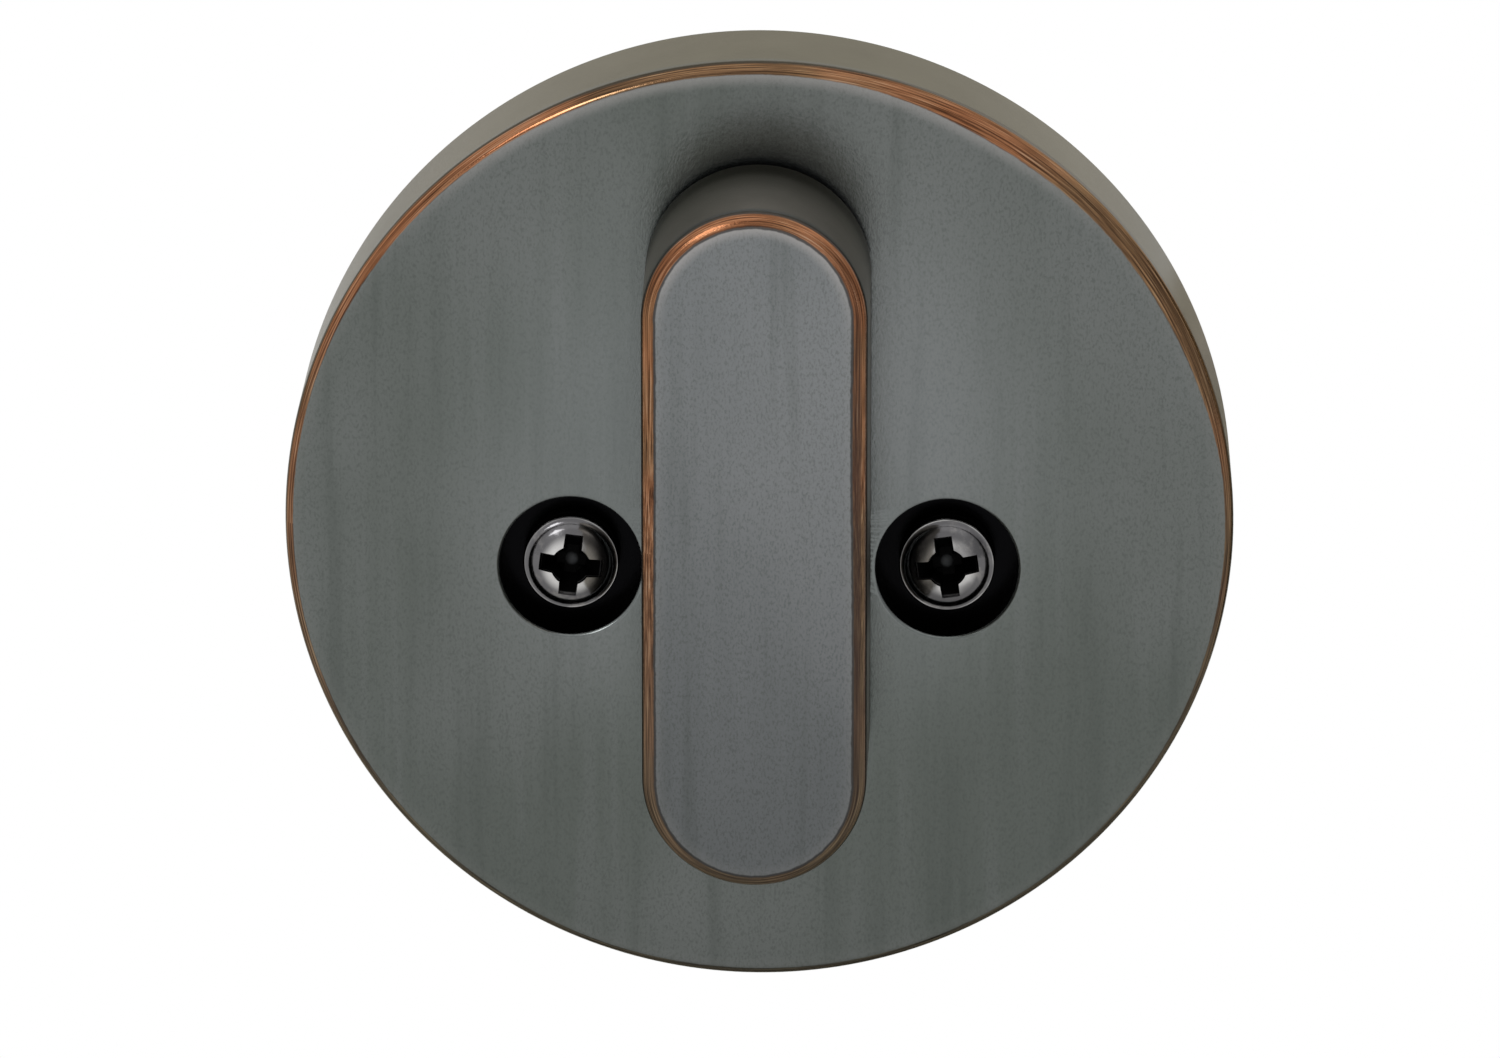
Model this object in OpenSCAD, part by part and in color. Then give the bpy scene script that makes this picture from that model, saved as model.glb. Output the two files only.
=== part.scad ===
// Single-cylinder deadbolt door lock, drawn as it stands fitted in a door.
// The origin is the centre of the door's cross bore, on the bolt's axis.
// +X points out of the door's edge, +Z up, -Y into the room and +Y outdoors.

/* [Door and bolt] */
// Thickness of the door the lock is fitted to
door_thick = 44; // [40:0.5:48]
// Distance from the door's edge to the centre of the cross bore
backset = 60; // [58:0.5:70]
// Travel of the bolt
throw = 25.4; // [22:0.2:26]
// Height of the turning axis above the bolt's axis
spindle_rise = 2.25; // [2:0.05:3]

/* [Inside rose] */
// Diameter of the round rose
rose_d = 66; // [58:1:76]
// How far the rose stands off the door
rose_depth = 10.5; // [9.5:0.5:14]
// Thickness of the rose's side wall
rose_wall = 2.2; // [1.6:0.1:3]
// Thickness of the rose's front plate
rose_plate = 3; // [2.4:0.1:3.4]
// Width of the worn bevel on the rose's front
rose_bevel = 0.8; // [0.4:0.1:1.4]
// Depth of that bevel down the side
rose_bevel_depth = 1.2; // [0.6:0.1:1.8]

/* [Thumbturn] */
// Length of the turn at its front
turn_length = 47.8; // [40:0.2:54]
// Width of the turn at its front
turn_width = 15.4; // [13:0.2:15.6]
// How far the turn's front stands off the rose
turn_reach = 14.7; // [10:0.1:20]
// Gap between the turn's back and the rose
turn_gap = 1; // [0.6:0.1:2]
// Radius of the worn edge on the turn's front
turn_edge = 1.1; // [0.4:0.1:1.5]
// How much wider the turn is at its back, on each side
turn_flare = 0.1; // [0:0.05:0.6]
// Diameter of the turn's shank
shank_d = 11; // [10:0.1:12]

/* [Mounting screws] */
// Half the distance between the two screws
screw_half = 13.1; // [12.6:0.1:14]
// How far the screws sit below the bolt's axis
screw_drop = 2.95; // [2.5:0.05:3.2]
// Diameter of the screws
screw_d = 4; // [3.5:0.1:4.2]
// Diameter of the screw heads
screw_head_d = 6.7; // [6:0.1:8]
// Height of the screw heads at their rim
screw_head_h = 2.8; // [1.8:0.1:3]
// Diameter of the holes the heads sit in
counterbore_d = 9.9; // [9.2:0.1:10.4]

/* [Bolt] */
// Diameter the bolt's top and bottom are rounded to
bolt_d = 22.6; // [22:0.1:22.8]
// Width of the bolt between its flats
bolt_width = 15.8; // [14:0.1:16.5]
// Length of the bolt
bolt_length = 38; // [36:0.5:38.5]
// Diameter of the hard pin that rolls inside the bolt
roller_d = 6.3; // [5:0.1:7]
// Outside diameter of the bolt's tube
tube_d = 25; // [24.8:0.1:25.2]
// Wall of the tube
tube_wall = 1; // [0.8:0.05:1.05]

/* [Faceplate] */
// Height of the faceplate
plate_height = 57.2; // [54:0.2:64]
// Width of the faceplate
plate_width = 25.4; // [25.2:0.2:29]
// Thickness of the faceplate
plate_thick = 2.4; // [2:0.1:3]
// Radius of the faceplate's corners
plate_corner = 6.35; // [3:0.05:10]
// Distance between the faceplate's two screw holes
plate_pitch = 41.3; // [40:0.1:43]
// Diameter of those holes
plate_hole_d = 4.6; // [4:0.1:5]

/* [Outside trim] */
// Diameter of the outside trim at the door
guard_d = 66; // [62:1:76]
// Diameter of the outside trim at its front
guard_front_d = 59; // [56:0.5:60]
// How far the outside trim stands off the door
guard_depth = 25; // [24.5:0.5:28]
// Diameter of the solid drum inside the guard ring
drum_d = 44; // [43.6:0.2:46]
// Diameter of the two screw posts
post_d = 8; // [7:0.1:8.4]

/* [Cylinder and key] */
// Diameter of the plug
plug_d = 12.7; // [12.5:0.1:12.9]
// Outside diameter of the round part of the cylinder
shell_d = 17; // [16.4:0.1:17.6]
// Distance between neighbouring pin chambers
pin_pitch = 3.9; // [3.6:0.05:4]
// Diameter of the pin chambers
chamber_d = 3; // [2.8:0.05:3.1]
// Thickness of the key
key_thick = 2; // [1.8:0.1:2.2]
// Depths of the key's five cuts below its uncut edge
key_cuts = [0.9, 2.1, 1.5, 2.7, 1.2];

/* [Fits] */
// Radial gap round a turning shaft
running_gap = 0.05; // [0.02:0.01:0.09]
// Gap beside a piece that slides
slide_gap = 0.2; // [0.1:0.05:0.3]
// Gap each side of the torque blade in a slot
blade_gap = 0.06; // [0.03:0.01:0.09]
// Gap between the swinging crank and the notch it works in
notch_gap = 0.2; // [0.1:0.05:0.3]

/* [Hidden] */

$fn = 96;
eps = 0.01;
bronze = [0.22, 0.21, 0.2];
zinc = [0.62, 0.62, 0.6];
steel = [0.72, 0.73, 0.74];
brass = [0.8, 0.62, 0.3];
black = [0.05, 0.05, 0.05];

// Planes through the door, from the room to outdoors
door_in = -door_thick / 2;
door_out = door_thick / 2;
rose_face = door_in - rose_depth;
turn_front = rose_face - turn_reach;
turn_back = rose_face - turn_gap;
guard_front = door_out + guard_depth;

// Inside rose and its boss
rose_r = rose_d / 2;
boss_d = shank_d + 7;
boss_back = rose_face + 6.4;
shank_hole_d = shank_d + 2 * running_gap;
head_recess = 3.4;
head_seat = rose_face + head_recess;
screw_boss_d = counterbore_d + 3;
screw_hole_d = screw_d + 0.6;
screw_dome = 0.8;
cross_depth = 1.6;
cross_width = 1;
cross_span = 3.8;

// Turn, clip and washer behind the boss
turn_r = turn_width / 2;
turn_mid = turn_length / 2 - turn_r;
washer_thick = 0.5;
washer_rise = 0.5;
clip_thick = 1;
clip_front = boss_back + washer_thick + washer_rise + 0.1;
groove_d = shank_d - 1.6;
shank_back = clip_front + clip_thick + 0.9;
clip_d = shank_d + 4;
relief_d = max(boss_d, clip_d) + 0.6;

// Torque blade
blade_width = 6.4;
blade_thick = 2.4;
blade_front = rose_face - 6;
blade_seat = 3.6;

// Case round the crank
sheet = 1;
case_in = 4;
case_out = case_in + sheet;
case_half_z = 11.2;
tube_r = tube_d / 2;
bore_r = tube_r - tube_wall;
bulkhead = 1.4;
tube_front = backset - plate_thick;
tube_rear = backset - bolt_length - 3.4;
tab_half_z = case_half_z - sheet - 0.1;
tab_front = tube_rear + bulkhead;
hub_neck_d = 10.4;
hub_barrel_d = 13;
hub_half = case_in - slide_gap;
rivet_d = 3;
rivet_head = 0.9;
guide_x = min(-throw / 2 - 6.3, -screw_half - screw_d / 2 - rivet_d / 2 - rivet_head - slide_gap);
case_rear = guide_x - 3;
rivet_x = 10.5;
rivet_z = 7.4;

// Crank and the notch it works in
swing = 90;
crank_r = throw / 2 / sin(swing / 2);
knob_r = 1.8;
neck_half = 1.25;
neck_start = 9;
crank_half = 2.4;
knob_z = spindle_rise - throw / 2;
law_gap = 0.045 * throw;
throat_half = law_gap + 1.17 * neck_half + notch_gap;
link_thick = 3;
link_low = knob_z - knob_r;
link_top = -screw_drop - screw_d / 2 - 0.75;
flare_half = throw / 2 - (spindle_rise - link_top) + neck_half * sqrt(2) + 2 * notch_gap;
link_half = case_in - 0.3;
link_rear = min(-throw / 2 - flare_half - 0.8, guide_x - 0.6);
link_block_front = -throw / 2 + flare_half + 1.6;
link_toe = min(-throw / 2 + throat_half + 1.6, tube_rear - throw - slide_gap);
tail_low = slide_gap - tab_half_z;
foot_low = 0.5 - bore_r;
guide_z = link_top + slide_gap + rivet_d / 2;

// Bolt at rest, drawn back into the door
bolt_front = backset + 0.3;
bolt_rear = bolt_front - bolt_length;
link_depth = 8;
link_pin_x = bolt_rear + 4.6;
link_pin_z = link_top - 2.6;
link_pin_half = sqrt(pow(bolt_d / 2 - 0.1, 2) - pow(link_pin_z - rivet_d / 2, 2));
tab_rear = bolt_rear - 2.6;
roller_length = bolt_length - 7;

// Outside trim
drum_front = guard_front - 2;
flange_thick = 3.4;
flange_d = drum_d + 12;
cap_d = drum_d + 6;
cap_hole_d = shell_d + 6;
guard_gap = 0.3;
post_end = case_out + 1.6;
post_hole_depth = 14;
screw_end = post_end + 9;

// Cylinder, plug and pins
plug_r = plug_d / 2;
shell_bore_d = plug_d + 2 * running_gap;
shell_rear = door_out - 4.5;
plug_rear = shell_rear - 3.2;
cap_rear = plug_rear - 1.8;
face = guard_front + 0.4;
bible_width = 8.6;
bible_top = 16.4;
bible_rear = door_out - 1.5;
bible_front = drum_front - 2;
strip_thick = 1;
strip_width = 4.4;
strip_low = bible_top - strip_thick - 0.6;
pin_d = chamber_d - 2 * running_gap;
first_pin = face - 7;
pin_top = sqrt(plug_r * plug_r - pin_d * pin_d / 4) - 0.04;
driver_low = shell_bore_d / 2 + 0.04;
driver_h = 4.2;
key_low = -5.5;
key_high = 2.6;
key_bow_d = 24;
key_tip = first_pin - 4 * pin_pitch - 5;
pin_tip_d = 0.9;
pin_point = (pin_d - pin_tip_d) / 2;
cut_flank = 1.05;
cut_flat = 0.5;
spring_wire = 0.36;
spring_turns = 6;
spring_steps = 14;

// ---- shared shapes ----

// Turns +Z of the child to face -Y, towards the room
module to_room() {
    rotate([90, 0, 0]) children();
}

// A round bar along Y between two planes
module bar_y(d, y0, y1, x = 0, z = 0) {
    translate([x, y1, z]) to_room() cylinder(d = d, h = y1 - y0);
}

// A round bar along X between two planes
module bar_x(d, x0, x1) {
    translate([x0, 0, 0]) rotate([0, 90, 0]) cylinder(d = d, h = x1 - x0);
}

// A box between two corners
module box(low, high) {
    translate(low) cube(high - low);
}

// A plate that lies in X and Z, centred on Y = 0
module sheet_y(thick) {
    translate([0, thick / 2, 0]) to_room() linear_extrude(thick) children();
}

// Half of the turn's outline: x is the half width, y the distance from the door's middle
module turn_outline() {
    depth = turn_back - turn_front;
    intersection() {
        union() {
            polygon([[0, 0], [turn_r + turn_flare, 0], [turn_r, depth - turn_edge],
                [0, depth - turn_edge]]);
            square([turn_r - turn_edge, depth]);
            translate([turn_r - turn_edge, depth - turn_edge]) circle(r = turn_edge);
        }
        square([turn_width, depth]);
    }
}

// The bolt's outline across its travel, grown by a gap
module bolt_outline(gap) {
    intersection() {
        circle(d = bolt_d + 2 * gap);
        square([bolt_width + 2 * gap, bolt_d + 4], center = true);
    }
}

// ---- inside trim ----

module rose_shell_outline() {
    polygon([[0, 0], [rose_r, 0], [rose_r, rose_depth - rose_bevel_depth],
        [rose_r - rose_bevel * 0.32, rose_depth - rose_bevel_depth * 0.36],
        [rose_r - rose_bevel, rose_depth], [0, rose_depth]]);
}

module screw_places() {
    for (side = [-1, 1]) translate([side * screw_half, 0, -screw_drop]) children();
}

module rose() {
    color(bronze) difference() {
        union() {
            translate([0, door_in, 0]) to_room() rotate_extrude() difference() {
                rose_shell_outline();
                square([rose_r - rose_wall, rose_depth - rose_plate]);
            }
            bar_y(boss_d, rose_face + eps, boss_back, 0, spindle_rise);
            screw_places() bar_y(screw_boss_d, rose_face + eps, door_in - 1);
        }
        bar_y(shank_hole_d, rose_face - 1, boss_back + 1, 0, spindle_rise);
        bar_y(relief_d, boss_back, door_in + 1, 0, spindle_rise);
        screw_places() {
            bar_y(counterbore_d, rose_face - 1, head_seat);
            bar_y(screw_hole_d, rose_face, door_in);
        }
    }
}

module thumbturn() {
    color(bronze) translate([0, 0, spindle_rise]) difference() {
        union() {
            for (side = [-1, 1]) translate([0, turn_back, side * turn_mid])
                to_room() rotate_extrude() turn_outline();
            translate([0, turn_back, -turn_mid]) linear_extrude(2 * turn_mid) {
                mirror([0, 1]) turn_outline();
                rotate(180) turn_outline();
            }
            bar_y(shank_d, turn_back - 1, clip_front);
            bar_y(groove_d, clip_front - eps, clip_front + clip_thick + eps);
            bar_y(shank_d, clip_front + clip_thick, shank_back);
        }
        box([-blade_thick / 2 - blade_gap, blade_front - 0.6, -blade_width / 2 - blade_gap],
            [blade_thick / 2 + blade_gap, shank_back + 1, blade_width / 2 + blade_gap]);
    }
}

module spring_washer() {
    color(steel) translate([0, boss_back + washer_thick + washer_rise, spindle_rise])
        to_room() rotate_extrude() polygon([[shank_d / 2 + 0.3, 0],
            [shank_d / 2 + 0.3, washer_thick], [boss_d / 2 - 0.4, washer_thick + washer_rise],
            [boss_d / 2 - 0.4, washer_rise]]);
}

module turn_clip() {
    mouth = groove_d * 0.8;
    color(steel) translate([0, 0, spindle_rise]) difference() {
        bar_y(clip_d, clip_front, clip_front + clip_thick);
        bar_y(groove_d, clip_front - 1, clip_front + clip_thick + 1);
        box([-mouth / 2, clip_front - 1, -clip_d], [mouth / 2, clip_front + clip_thick + 1, 0]);
    }
}

module torque_blade() {
    color(steel) translate([0, 0, spindle_rise])
        box([-blade_thick / 2, blade_front, -blade_width / 2],
            [blade_thick / 2, plug_rear + blade_seat, blade_width / 2]);
}

module mounting_screw(turned) {
    top = head_seat - screw_head_h - screw_dome;
    color(black) difference() {
        union() {
            bar_y(screw_d, head_seat - eps, screw_end);
            intersection() {
                bar_y(screw_head_d, top - 1, head_seat);
                translate([0, top + dome_r(), 0]) sphere(r = dome_r());
            }
        }
        rotate([0, turned, 0]) {
            box([-cross_span / 2, top - 1, -cross_width / 2],
                [cross_span / 2, top + cross_depth, cross_width / 2]);
            box([-cross_width / 2, top - 1, -cross_span / 2],
                [cross_width / 2, top + cross_depth, cross_span / 2]);
        }
    }
}

// Radius of the ball that domes a screw head
function dome_r() = (screw_head_d * screw_head_d / 4 + screw_dome * screw_dome) / (2 * screw_dome);

module screw_left() {
    translate([-screw_half, 0, -screw_drop]) mounting_screw(7);
}

module screw_right() {
    translate([screw_half, 0, -screw_drop]) mounting_screw(-8);
}

// ---- bolt assembly ----

module plate_outline(height, width, corner) {
    intersection() {
        square([height, width], center = true);
        union() {
            square([height - 2 * corner, width], center = true);
            square([height, width - 2 * corner], center = true);
            for (sx = [-1, 1], sy = [-1, 1])
                translate([sx * (height / 2 - corner), sy * (width / 2 - corner)])
                    circle(r = corner);
        }
    }
}

// Puts a shape drawn in Z and Y at plane x0 and gives it a thickness along X
module slab_x(x0, thick) {
    translate([x0, 0, 0]) rotate([0, 90, 0]) linear_extrude(thick) children();
}

module faceplate() {
    color(bronze) difference() {
        slab_x(backset - plate_thick, plate_thick)
            plate_outline(plate_height, plate_width, plate_corner);
        slab_x(backset - plate_thick - 1, plate_thick + 2) rotate(90) bolt_outline(slide_gap);
        for (side = [-1, 1]) translate([0, 0, side * plate_pitch / 2]) {
            bar_x(plate_hole_d, backset - plate_thick - 1, backset + 1);
            translate([backset - 1.4, 0, 0]) rotate([0, 90, 0])
                cylinder(d1 = plate_hole_d, d2 = plate_hole_d + 3.6, h = 1.5);
        }
    }
}

module bolt_tube() {
    inner_thick = 1.6;
    color(steel) difference() {
        union() {
            bar_x(tube_d, tube_rear, tube_front);
            slab_x(tube_front - inner_thick, inner_thick)
                plate_outline(plate_height - 2.6, plate_width - 0.4, plate_corner - 0.6);
        }
        bar_x(2 * bore_r, tube_rear + bulkhead, tube_front + 1);
        box([tube_rear - 1, -case_out, -tab_half_z], [tab_front + 1, case_out, tab_half_z]);
        for (side = [-1, 1]) translate([0, 0, side * plate_pitch / 2])
            bar_x(plate_hole_d + 0.4, tube_front - 3, tube_front + 1);
    }
}

module bolt_case() {
    low = link_top - slide_gap;
    color(zinc) difference() {
        union() {
            box([case_rear, -case_out, -case_half_z], [tube_rear, case_out, case_half_z]);
            box([tube_rear - eps, -case_out, -tab_half_z], [tab_front, case_out, tab_half_z]);
        }
        box([case_rear + sheet, -case_in, -case_half_z - 1],
            [tab_front + 1, case_in, case_half_z - sheet]);
        box([case_rear - 1, -case_in, -case_half_z - 1], [case_rear + 2, case_in, low]);
        box([tube_rear, -case_in, -case_half_z - 1], [tab_front + 1, case_in, case_half_z]);
        bar_y(hub_neck_d + 2 * running_gap, -9, 9, 0, spindle_rise);
        screw_places() bar_y(screw_d + 2, -9, 9);
        bar_y(rivet_d, -9, 9, guide_x, guide_z);
        bar_y(rivet_d, -9, 9, rivet_x, rivet_z);
    }
}

module rivet(x, z) {
    head = 0.8;
    color(steel) {
        bar_y(rivet_d, -case_out - eps, case_out + eps, x, z);
        for (side = [-1, 1]) translate([0, side * (case_out + head / 2), 0])
            bar_y(rivet_d + 2 * rivet_head, -head / 2, head / 2, x, z);
    }
}

module guide_rivet() {
    rivet(guide_x, guide_z);
}

module case_rivet() {
    rivet(rivet_x, rivet_z);
}

module hub() {
    color(steel) translate([0, 0, spindle_rise]) difference() {
        union() {
            bar_y(hub_neck_d, -case_out - 0.8, case_out + 0.8);
            bar_y(hub_barrel_d, -hub_half, hub_half);
            rotate([0, swing / 2, 0]) {
                sheet_y(2 * crank_half) polygon([[-4, -3], [-neck_half, -neck_start],
                    [-neck_half, -crank_r], [neck_half, -crank_r], [neck_half, -neck_start],
                    [4, -3]]);
                bar_y(2 * knob_r, -crank_half, crank_half, 0, -crank_r);
            }
        }
        box([-blade_thick / 2 - blade_gap, -9, -blade_width / 2 - blade_gap],
            [blade_thick / 2 + blade_gap, 9, blade_width / 2 + blade_gap]);
    }
}

module bolt_link() {
    color(steel) difference() {
        union() {
            sheet_y(2 * link_half) polygon([[link_rear, link_low], [link_toe, link_low],
                [link_toe, tail_low], [link_block_front, link_top], [link_rear, link_top]]);
            sheet_y(link_thick) polygon([[link_rear + 2, tail_low], [tab_front + 0.3, tail_low],
                [tab_front + 0.3, foot_low], [bolt_rear + link_depth, foot_low],
                [bolt_rear + link_depth, link_top],
                [bolt_rear - 0.1, link_top], [bolt_rear - 0.1, roller_d / 2],
                [tab_rear, roller_d / 2], [tab_rear, link_top], [link_rear + 2, link_top]]);
        }
        sheet_y(2 * (crank_half + slide_gap)) translate([-throw / 2, 0])
            polygon([[-throat_half, link_low - 1], [-throat_half, knob_z],
                [-flare_half, link_top + 0.1], [flare_half, link_top + 0.1],
                [throat_half, knob_z], [throat_half, link_low - 1]]);
        bar_y(rivet_d, -9, 9, link_pin_x, link_pin_z);
    }
}

module link_pin() {
    color(steel) bar_y(rivet_d, -link_pin_half, link_pin_half, link_pin_x, link_pin_z);
}

module bolt() {
    nose = 0.8;
    color(steel) difference() {
        intersection() {
            union() {
                bar_x(bolt_d, bolt_rear, bolt_front - nose);
                translate([bolt_front - nose, 0, 0]) rotate([0, 90, 0])
                    cylinder(d1 = bolt_d, d2 = bolt_d - 2 * nose, h = nose);
            }
            box([bolt_rear - 1, -bolt_width / 2, -bolt_d], [bolt_front + 1, bolt_width / 2, bolt_d]);
        }
        bar_x(roller_d + 2 * running_gap, bolt_rear - 1, bolt_rear + roller_length + 0.4);
        box([bolt_rear - 1, -link_thick / 2 - running_gap, -bolt_d],
            [bolt_rear + link_depth + 0.3, link_thick / 2 + running_gap, link_top + running_gap]);
        bar_y(rivet_d, -link_pin_half, link_pin_half, link_pin_x, link_pin_z);
    }
}

module roller_pin() {
    color(steel) bar_x(roller_d, bolt_rear + 0.2, bolt_rear + 0.2 + roller_length);
}

// ---- outside trim ----

module housing() {
    color(zinc) difference() {
        union() {
            bar_y(flange_d, door_out, door_out + flange_thick);
            bar_y(drum_d, door_out, drum_front);
            screw_places() bar_y(post_d, post_end, door_out + eps);
        }
        bar_y(shell_d + 2 * running_gap, door_out - 1, drum_front + 1, 0, spindle_rise);
        box([-bible_width / 2 - running_gap, door_out - 1, spindle_rise],
            [bible_width / 2 + running_gap, bible_front + running_gap,
                spindle_rise + bible_top + running_gap]);
        screw_places()
            bar_y(screw_d + 2 * running_gap, post_end - 1, post_end + post_hole_depth);
    }
}

module guard_ring() {
    low = guard_gap;
    step = flange_thick + guard_gap;
    lip = drum_front - door_out + guard_gap;
    hole_r = drum_d / 2 + 0.1;
    depth = guard_depth;
    color(bronze) translate([0, door_out, 0]) rotate([-90, 0, 0]) rotate_extrude() difference() {
        polygon([[hole_r, low], [guard_d / 2, low], [guard_d / 2, 6],
            [guard_front_d / 2 + 0.25, depth - 1.2], [guard_front_d / 2 - 0.7, depth],
            [hole_r, depth]]);
        square([flange_d / 2 + guard_gap, step]);
        translate([0, lip - 2 * guard_gap]) square([cap_d / 2 + guard_gap, depth]);
    }
}

module front_cap() {
    color(bronze) difference() {
        bar_y(cap_d, drum_front, guard_front);
        bar_y(cap_hole_d + 2 * running_gap, drum_front - 1, guard_front + 1, 0,
            spindle_rise);
    }
}

module shell_chambers(d, z0, z1) {
    for (i = [0:4]) translate([0, first_pin - i * pin_pitch, z0]) cylinder(d = d, h = z1 - z0);
}

module cylinder_shell() {
    color(brass) translate([0, 0, spindle_rise]) difference() {
        union() {
            bar_y(shell_d, shell_rear, face);
            bar_y(cap_hole_d, drum_front, face);
            box([-bible_width / 2, bible_rear, 0], [bible_width / 2, bible_front, bible_top]);
        }
        bar_y(shell_bore_d, shell_rear - 1, face + 1);
        shell_chambers(chamber_d, 0, strip_low + eps);
        box([-strip_width / 2, bible_rear - 1, strip_low],
            [strip_width / 2, bible_front + 1, strip_low + strip_thick]);
    }
}

module chamber_strip() {
    color(brass) translate([0, 0, spindle_rise])
        box([-strip_width / 2, bible_rear, strip_low],
            [strip_width / 2, bible_front, strip_low + strip_thick]);
}

module plug() {
    color(brass) translate([0, 0, spindle_rise]) difference() {
        bar_y(plug_d, plug_rear, face);
        box([-key_thick / 2 - 0.1, key_tip - 1, key_low - 0.1],
            [key_thick / 2 + 0.1, face + 1, key_high + 0.1]);
        shell_chambers(chamber_d, -1, plug_d);
        box([-blade_thick / 2 - blade_gap, plug_rear - 1, -blade_width / 2 - blade_gap],
            [blade_thick / 2 + blade_gap, plug_rear + blade_seat + 0.4,
                blade_width / 2 + blade_gap]);
    }
}

module plug_cap() {
    color(brass) translate([0, 0, spindle_rise]) difference() {
        bar_y(shell_d - 0.8, cap_rear, shell_rear - slide_gap);
        bar_y(plug_d, plug_rear, shell_rear + 1);
        box([-blade_thick / 2 - blade_gap, cap_rear - 1, -blade_width / 2 - blade_gap],
            [blade_thick / 2 + blade_gap, plug_rear + 1, blade_width / 2 + blade_gap]);
    }
}

// The key's side view: x runs from the plug's face into the lock, y up
module key_outline() {
    difference() {
        union() {
            polygon([[-2.4, key_low], [face - key_tip - 2.5, key_low], [face - key_tip, key_low + 2.5],
                [face - key_tip, key_high - 3.2], [face - key_tip - 3.2, key_high],
                [-2.4, key_high]]);
            translate([-5.6, (key_low + key_high) / 2]) square([7.6, 12], center = true);
            translate([-key_bow_d / 2 - 5, (key_low + key_high) / 2]) circle(d = key_bow_d);
        }
        translate([-key_bow_d + 1, (key_low + key_high) / 2]) circle(d = 6);
        for (i = [0:4]) translate([face - first_pin + i * pin_pitch, key_high - key_cuts[i]])
            polygon([[-cut_flat, 0], [-cut_flat - cut_flank * (key_cuts[i] + 0.3), key_cuts[i] + 0.3],
                [cut_flat + cut_flank * (key_cuts[i] + 0.3), key_cuts[i] + 0.3], [cut_flat, 0]]);
    }
}

module key() {
    color(steel) translate([0, face + 0.1, spindle_rise]) rotate([90, 0, -90])
        translate([0, 0, -key_thick / 2]) linear_extrude(key_thick) mirror([0, 0]) key_outline();
}

module key_pin(i) {
    low = key_high - key_cuts[i] + 0.02;
    color(brass) translate([0, first_pin - i * pin_pitch, spindle_rise]) {
        translate([0, 0, low + pin_point]) cylinder(d = pin_d, h = pin_top - low - pin_point);
        translate([0, 0, low]) cylinder(d1 = pin_tip_d, d2 = pin_d, h = pin_point + eps);
    }
}

module driver_pin(i) {
    color(steel) translate([0, first_pin - i * pin_pitch, spindle_rise + driver_low])
        cylinder(d = pin_d, h = driver_h);
}

// A coiled wire, drawn as a ring of points carried up a helix
module coil(radius, wire, height, turns, steps) {
    sides = 6;
    total = turns * steps;
    points = [for (k = [0:total], j = [0:sides - 1])
        let (a = 360 * k / steps, b = 360 * j / sides)
        [(radius + wire / 2 * cos(b)) * cos(a), (radius + wire / 2 * cos(b)) * sin(a),
            wire / 2 + (height - wire) * k / total + wire / 2 * sin(b)]];
    walls = [for (k = [0:total - 1], j = [0:sides - 1])
        [k * sides + j, (k + 1) * sides + j, (k + 1) * sides + (j + 1) % sides,
            k * sides + (j + 1) % sides]];
    first = [[for (j = [0:sides - 1]) j]];
    last = [[for (j = [0:sides - 1]) total * sides + sides - 1 - j]];
    polyhedron(points, concat(walls, first, last), convexity = 6);
}

module pin_spring(i) {
    low = driver_low + driver_h;
    color(steel) translate([0, first_pin - i * pin_pitch, spindle_rise + low])
        coil(chamber_d / 2 - spring_wire / 2 - 0.15, spring_wire, strip_low - low,
            spring_turns, spring_steps);
}

module key_pin_1() { key_pin(0); }
module key_pin_2() { key_pin(1); }
module key_pin_3() { key_pin(2); }
module key_pin_4() { key_pin(3); }
module key_pin_5() { key_pin(4); }
module driver_pin_1() { driver_pin(0); }
module driver_pin_2() { driver_pin(1); }
module driver_pin_3() { driver_pin(2); }
module driver_pin_4() { driver_pin(3); }
module driver_pin_5() { driver_pin(4); }
module pin_spring_1() { pin_spring(0); }
module pin_spring_2() { pin_spring(1); }
module pin_spring_3() { pin_spring(2); }
module pin_spring_4() { pin_spring(3); }
module pin_spring_5() { pin_spring(4); }

rose();
thumbturn();
spring_washer();
turn_clip();
torque_blade();
screw_left();
screw_right();
faceplate();
bolt_tube();
bolt_case();
guide_rivet();
case_rivet();
hub();
bolt_link();
link_pin();
bolt();
roller_pin();
housing();
guard_ring();
front_cap();
cylinder_shell();
chamber_strip();
plug();
plug_cap();
key();
key_pin_1();
key_pin_2();
key_pin_3();
key_pin_4();
key_pin_5();
driver_pin_1();
driver_pin_2();
driver_pin_3();
driver_pin_4();
driver_pin_5();
pin_spring_1();
pin_spring_2();
pin_spring_3();
pin_spring_4();
pin_spring_5();
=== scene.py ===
"""Finishes, detail pieces and a small studio for a single-cylinder deadbolt lock.

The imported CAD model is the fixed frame. Sizes here are in millimetres and are
turned into metres when a mesh is made. +X points out of the door's edge, +Y
through the door towards outdoors, and +Z up.
"""
from __future__ import annotations

import logging
import math
from dataclasses import dataclass
from enum import Enum
from typing import Iterable, Sequence

import bmesh
import bpy
from mathutils import Matrix, Vector


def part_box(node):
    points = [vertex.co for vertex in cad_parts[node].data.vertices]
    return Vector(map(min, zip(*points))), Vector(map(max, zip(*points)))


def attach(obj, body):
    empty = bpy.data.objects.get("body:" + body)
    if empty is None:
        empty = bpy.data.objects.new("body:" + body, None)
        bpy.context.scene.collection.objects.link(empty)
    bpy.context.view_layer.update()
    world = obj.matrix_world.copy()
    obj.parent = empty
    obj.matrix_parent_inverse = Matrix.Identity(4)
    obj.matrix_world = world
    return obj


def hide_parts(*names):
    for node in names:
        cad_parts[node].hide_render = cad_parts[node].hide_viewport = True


log = logging.getLogger("deadbolt")

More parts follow.
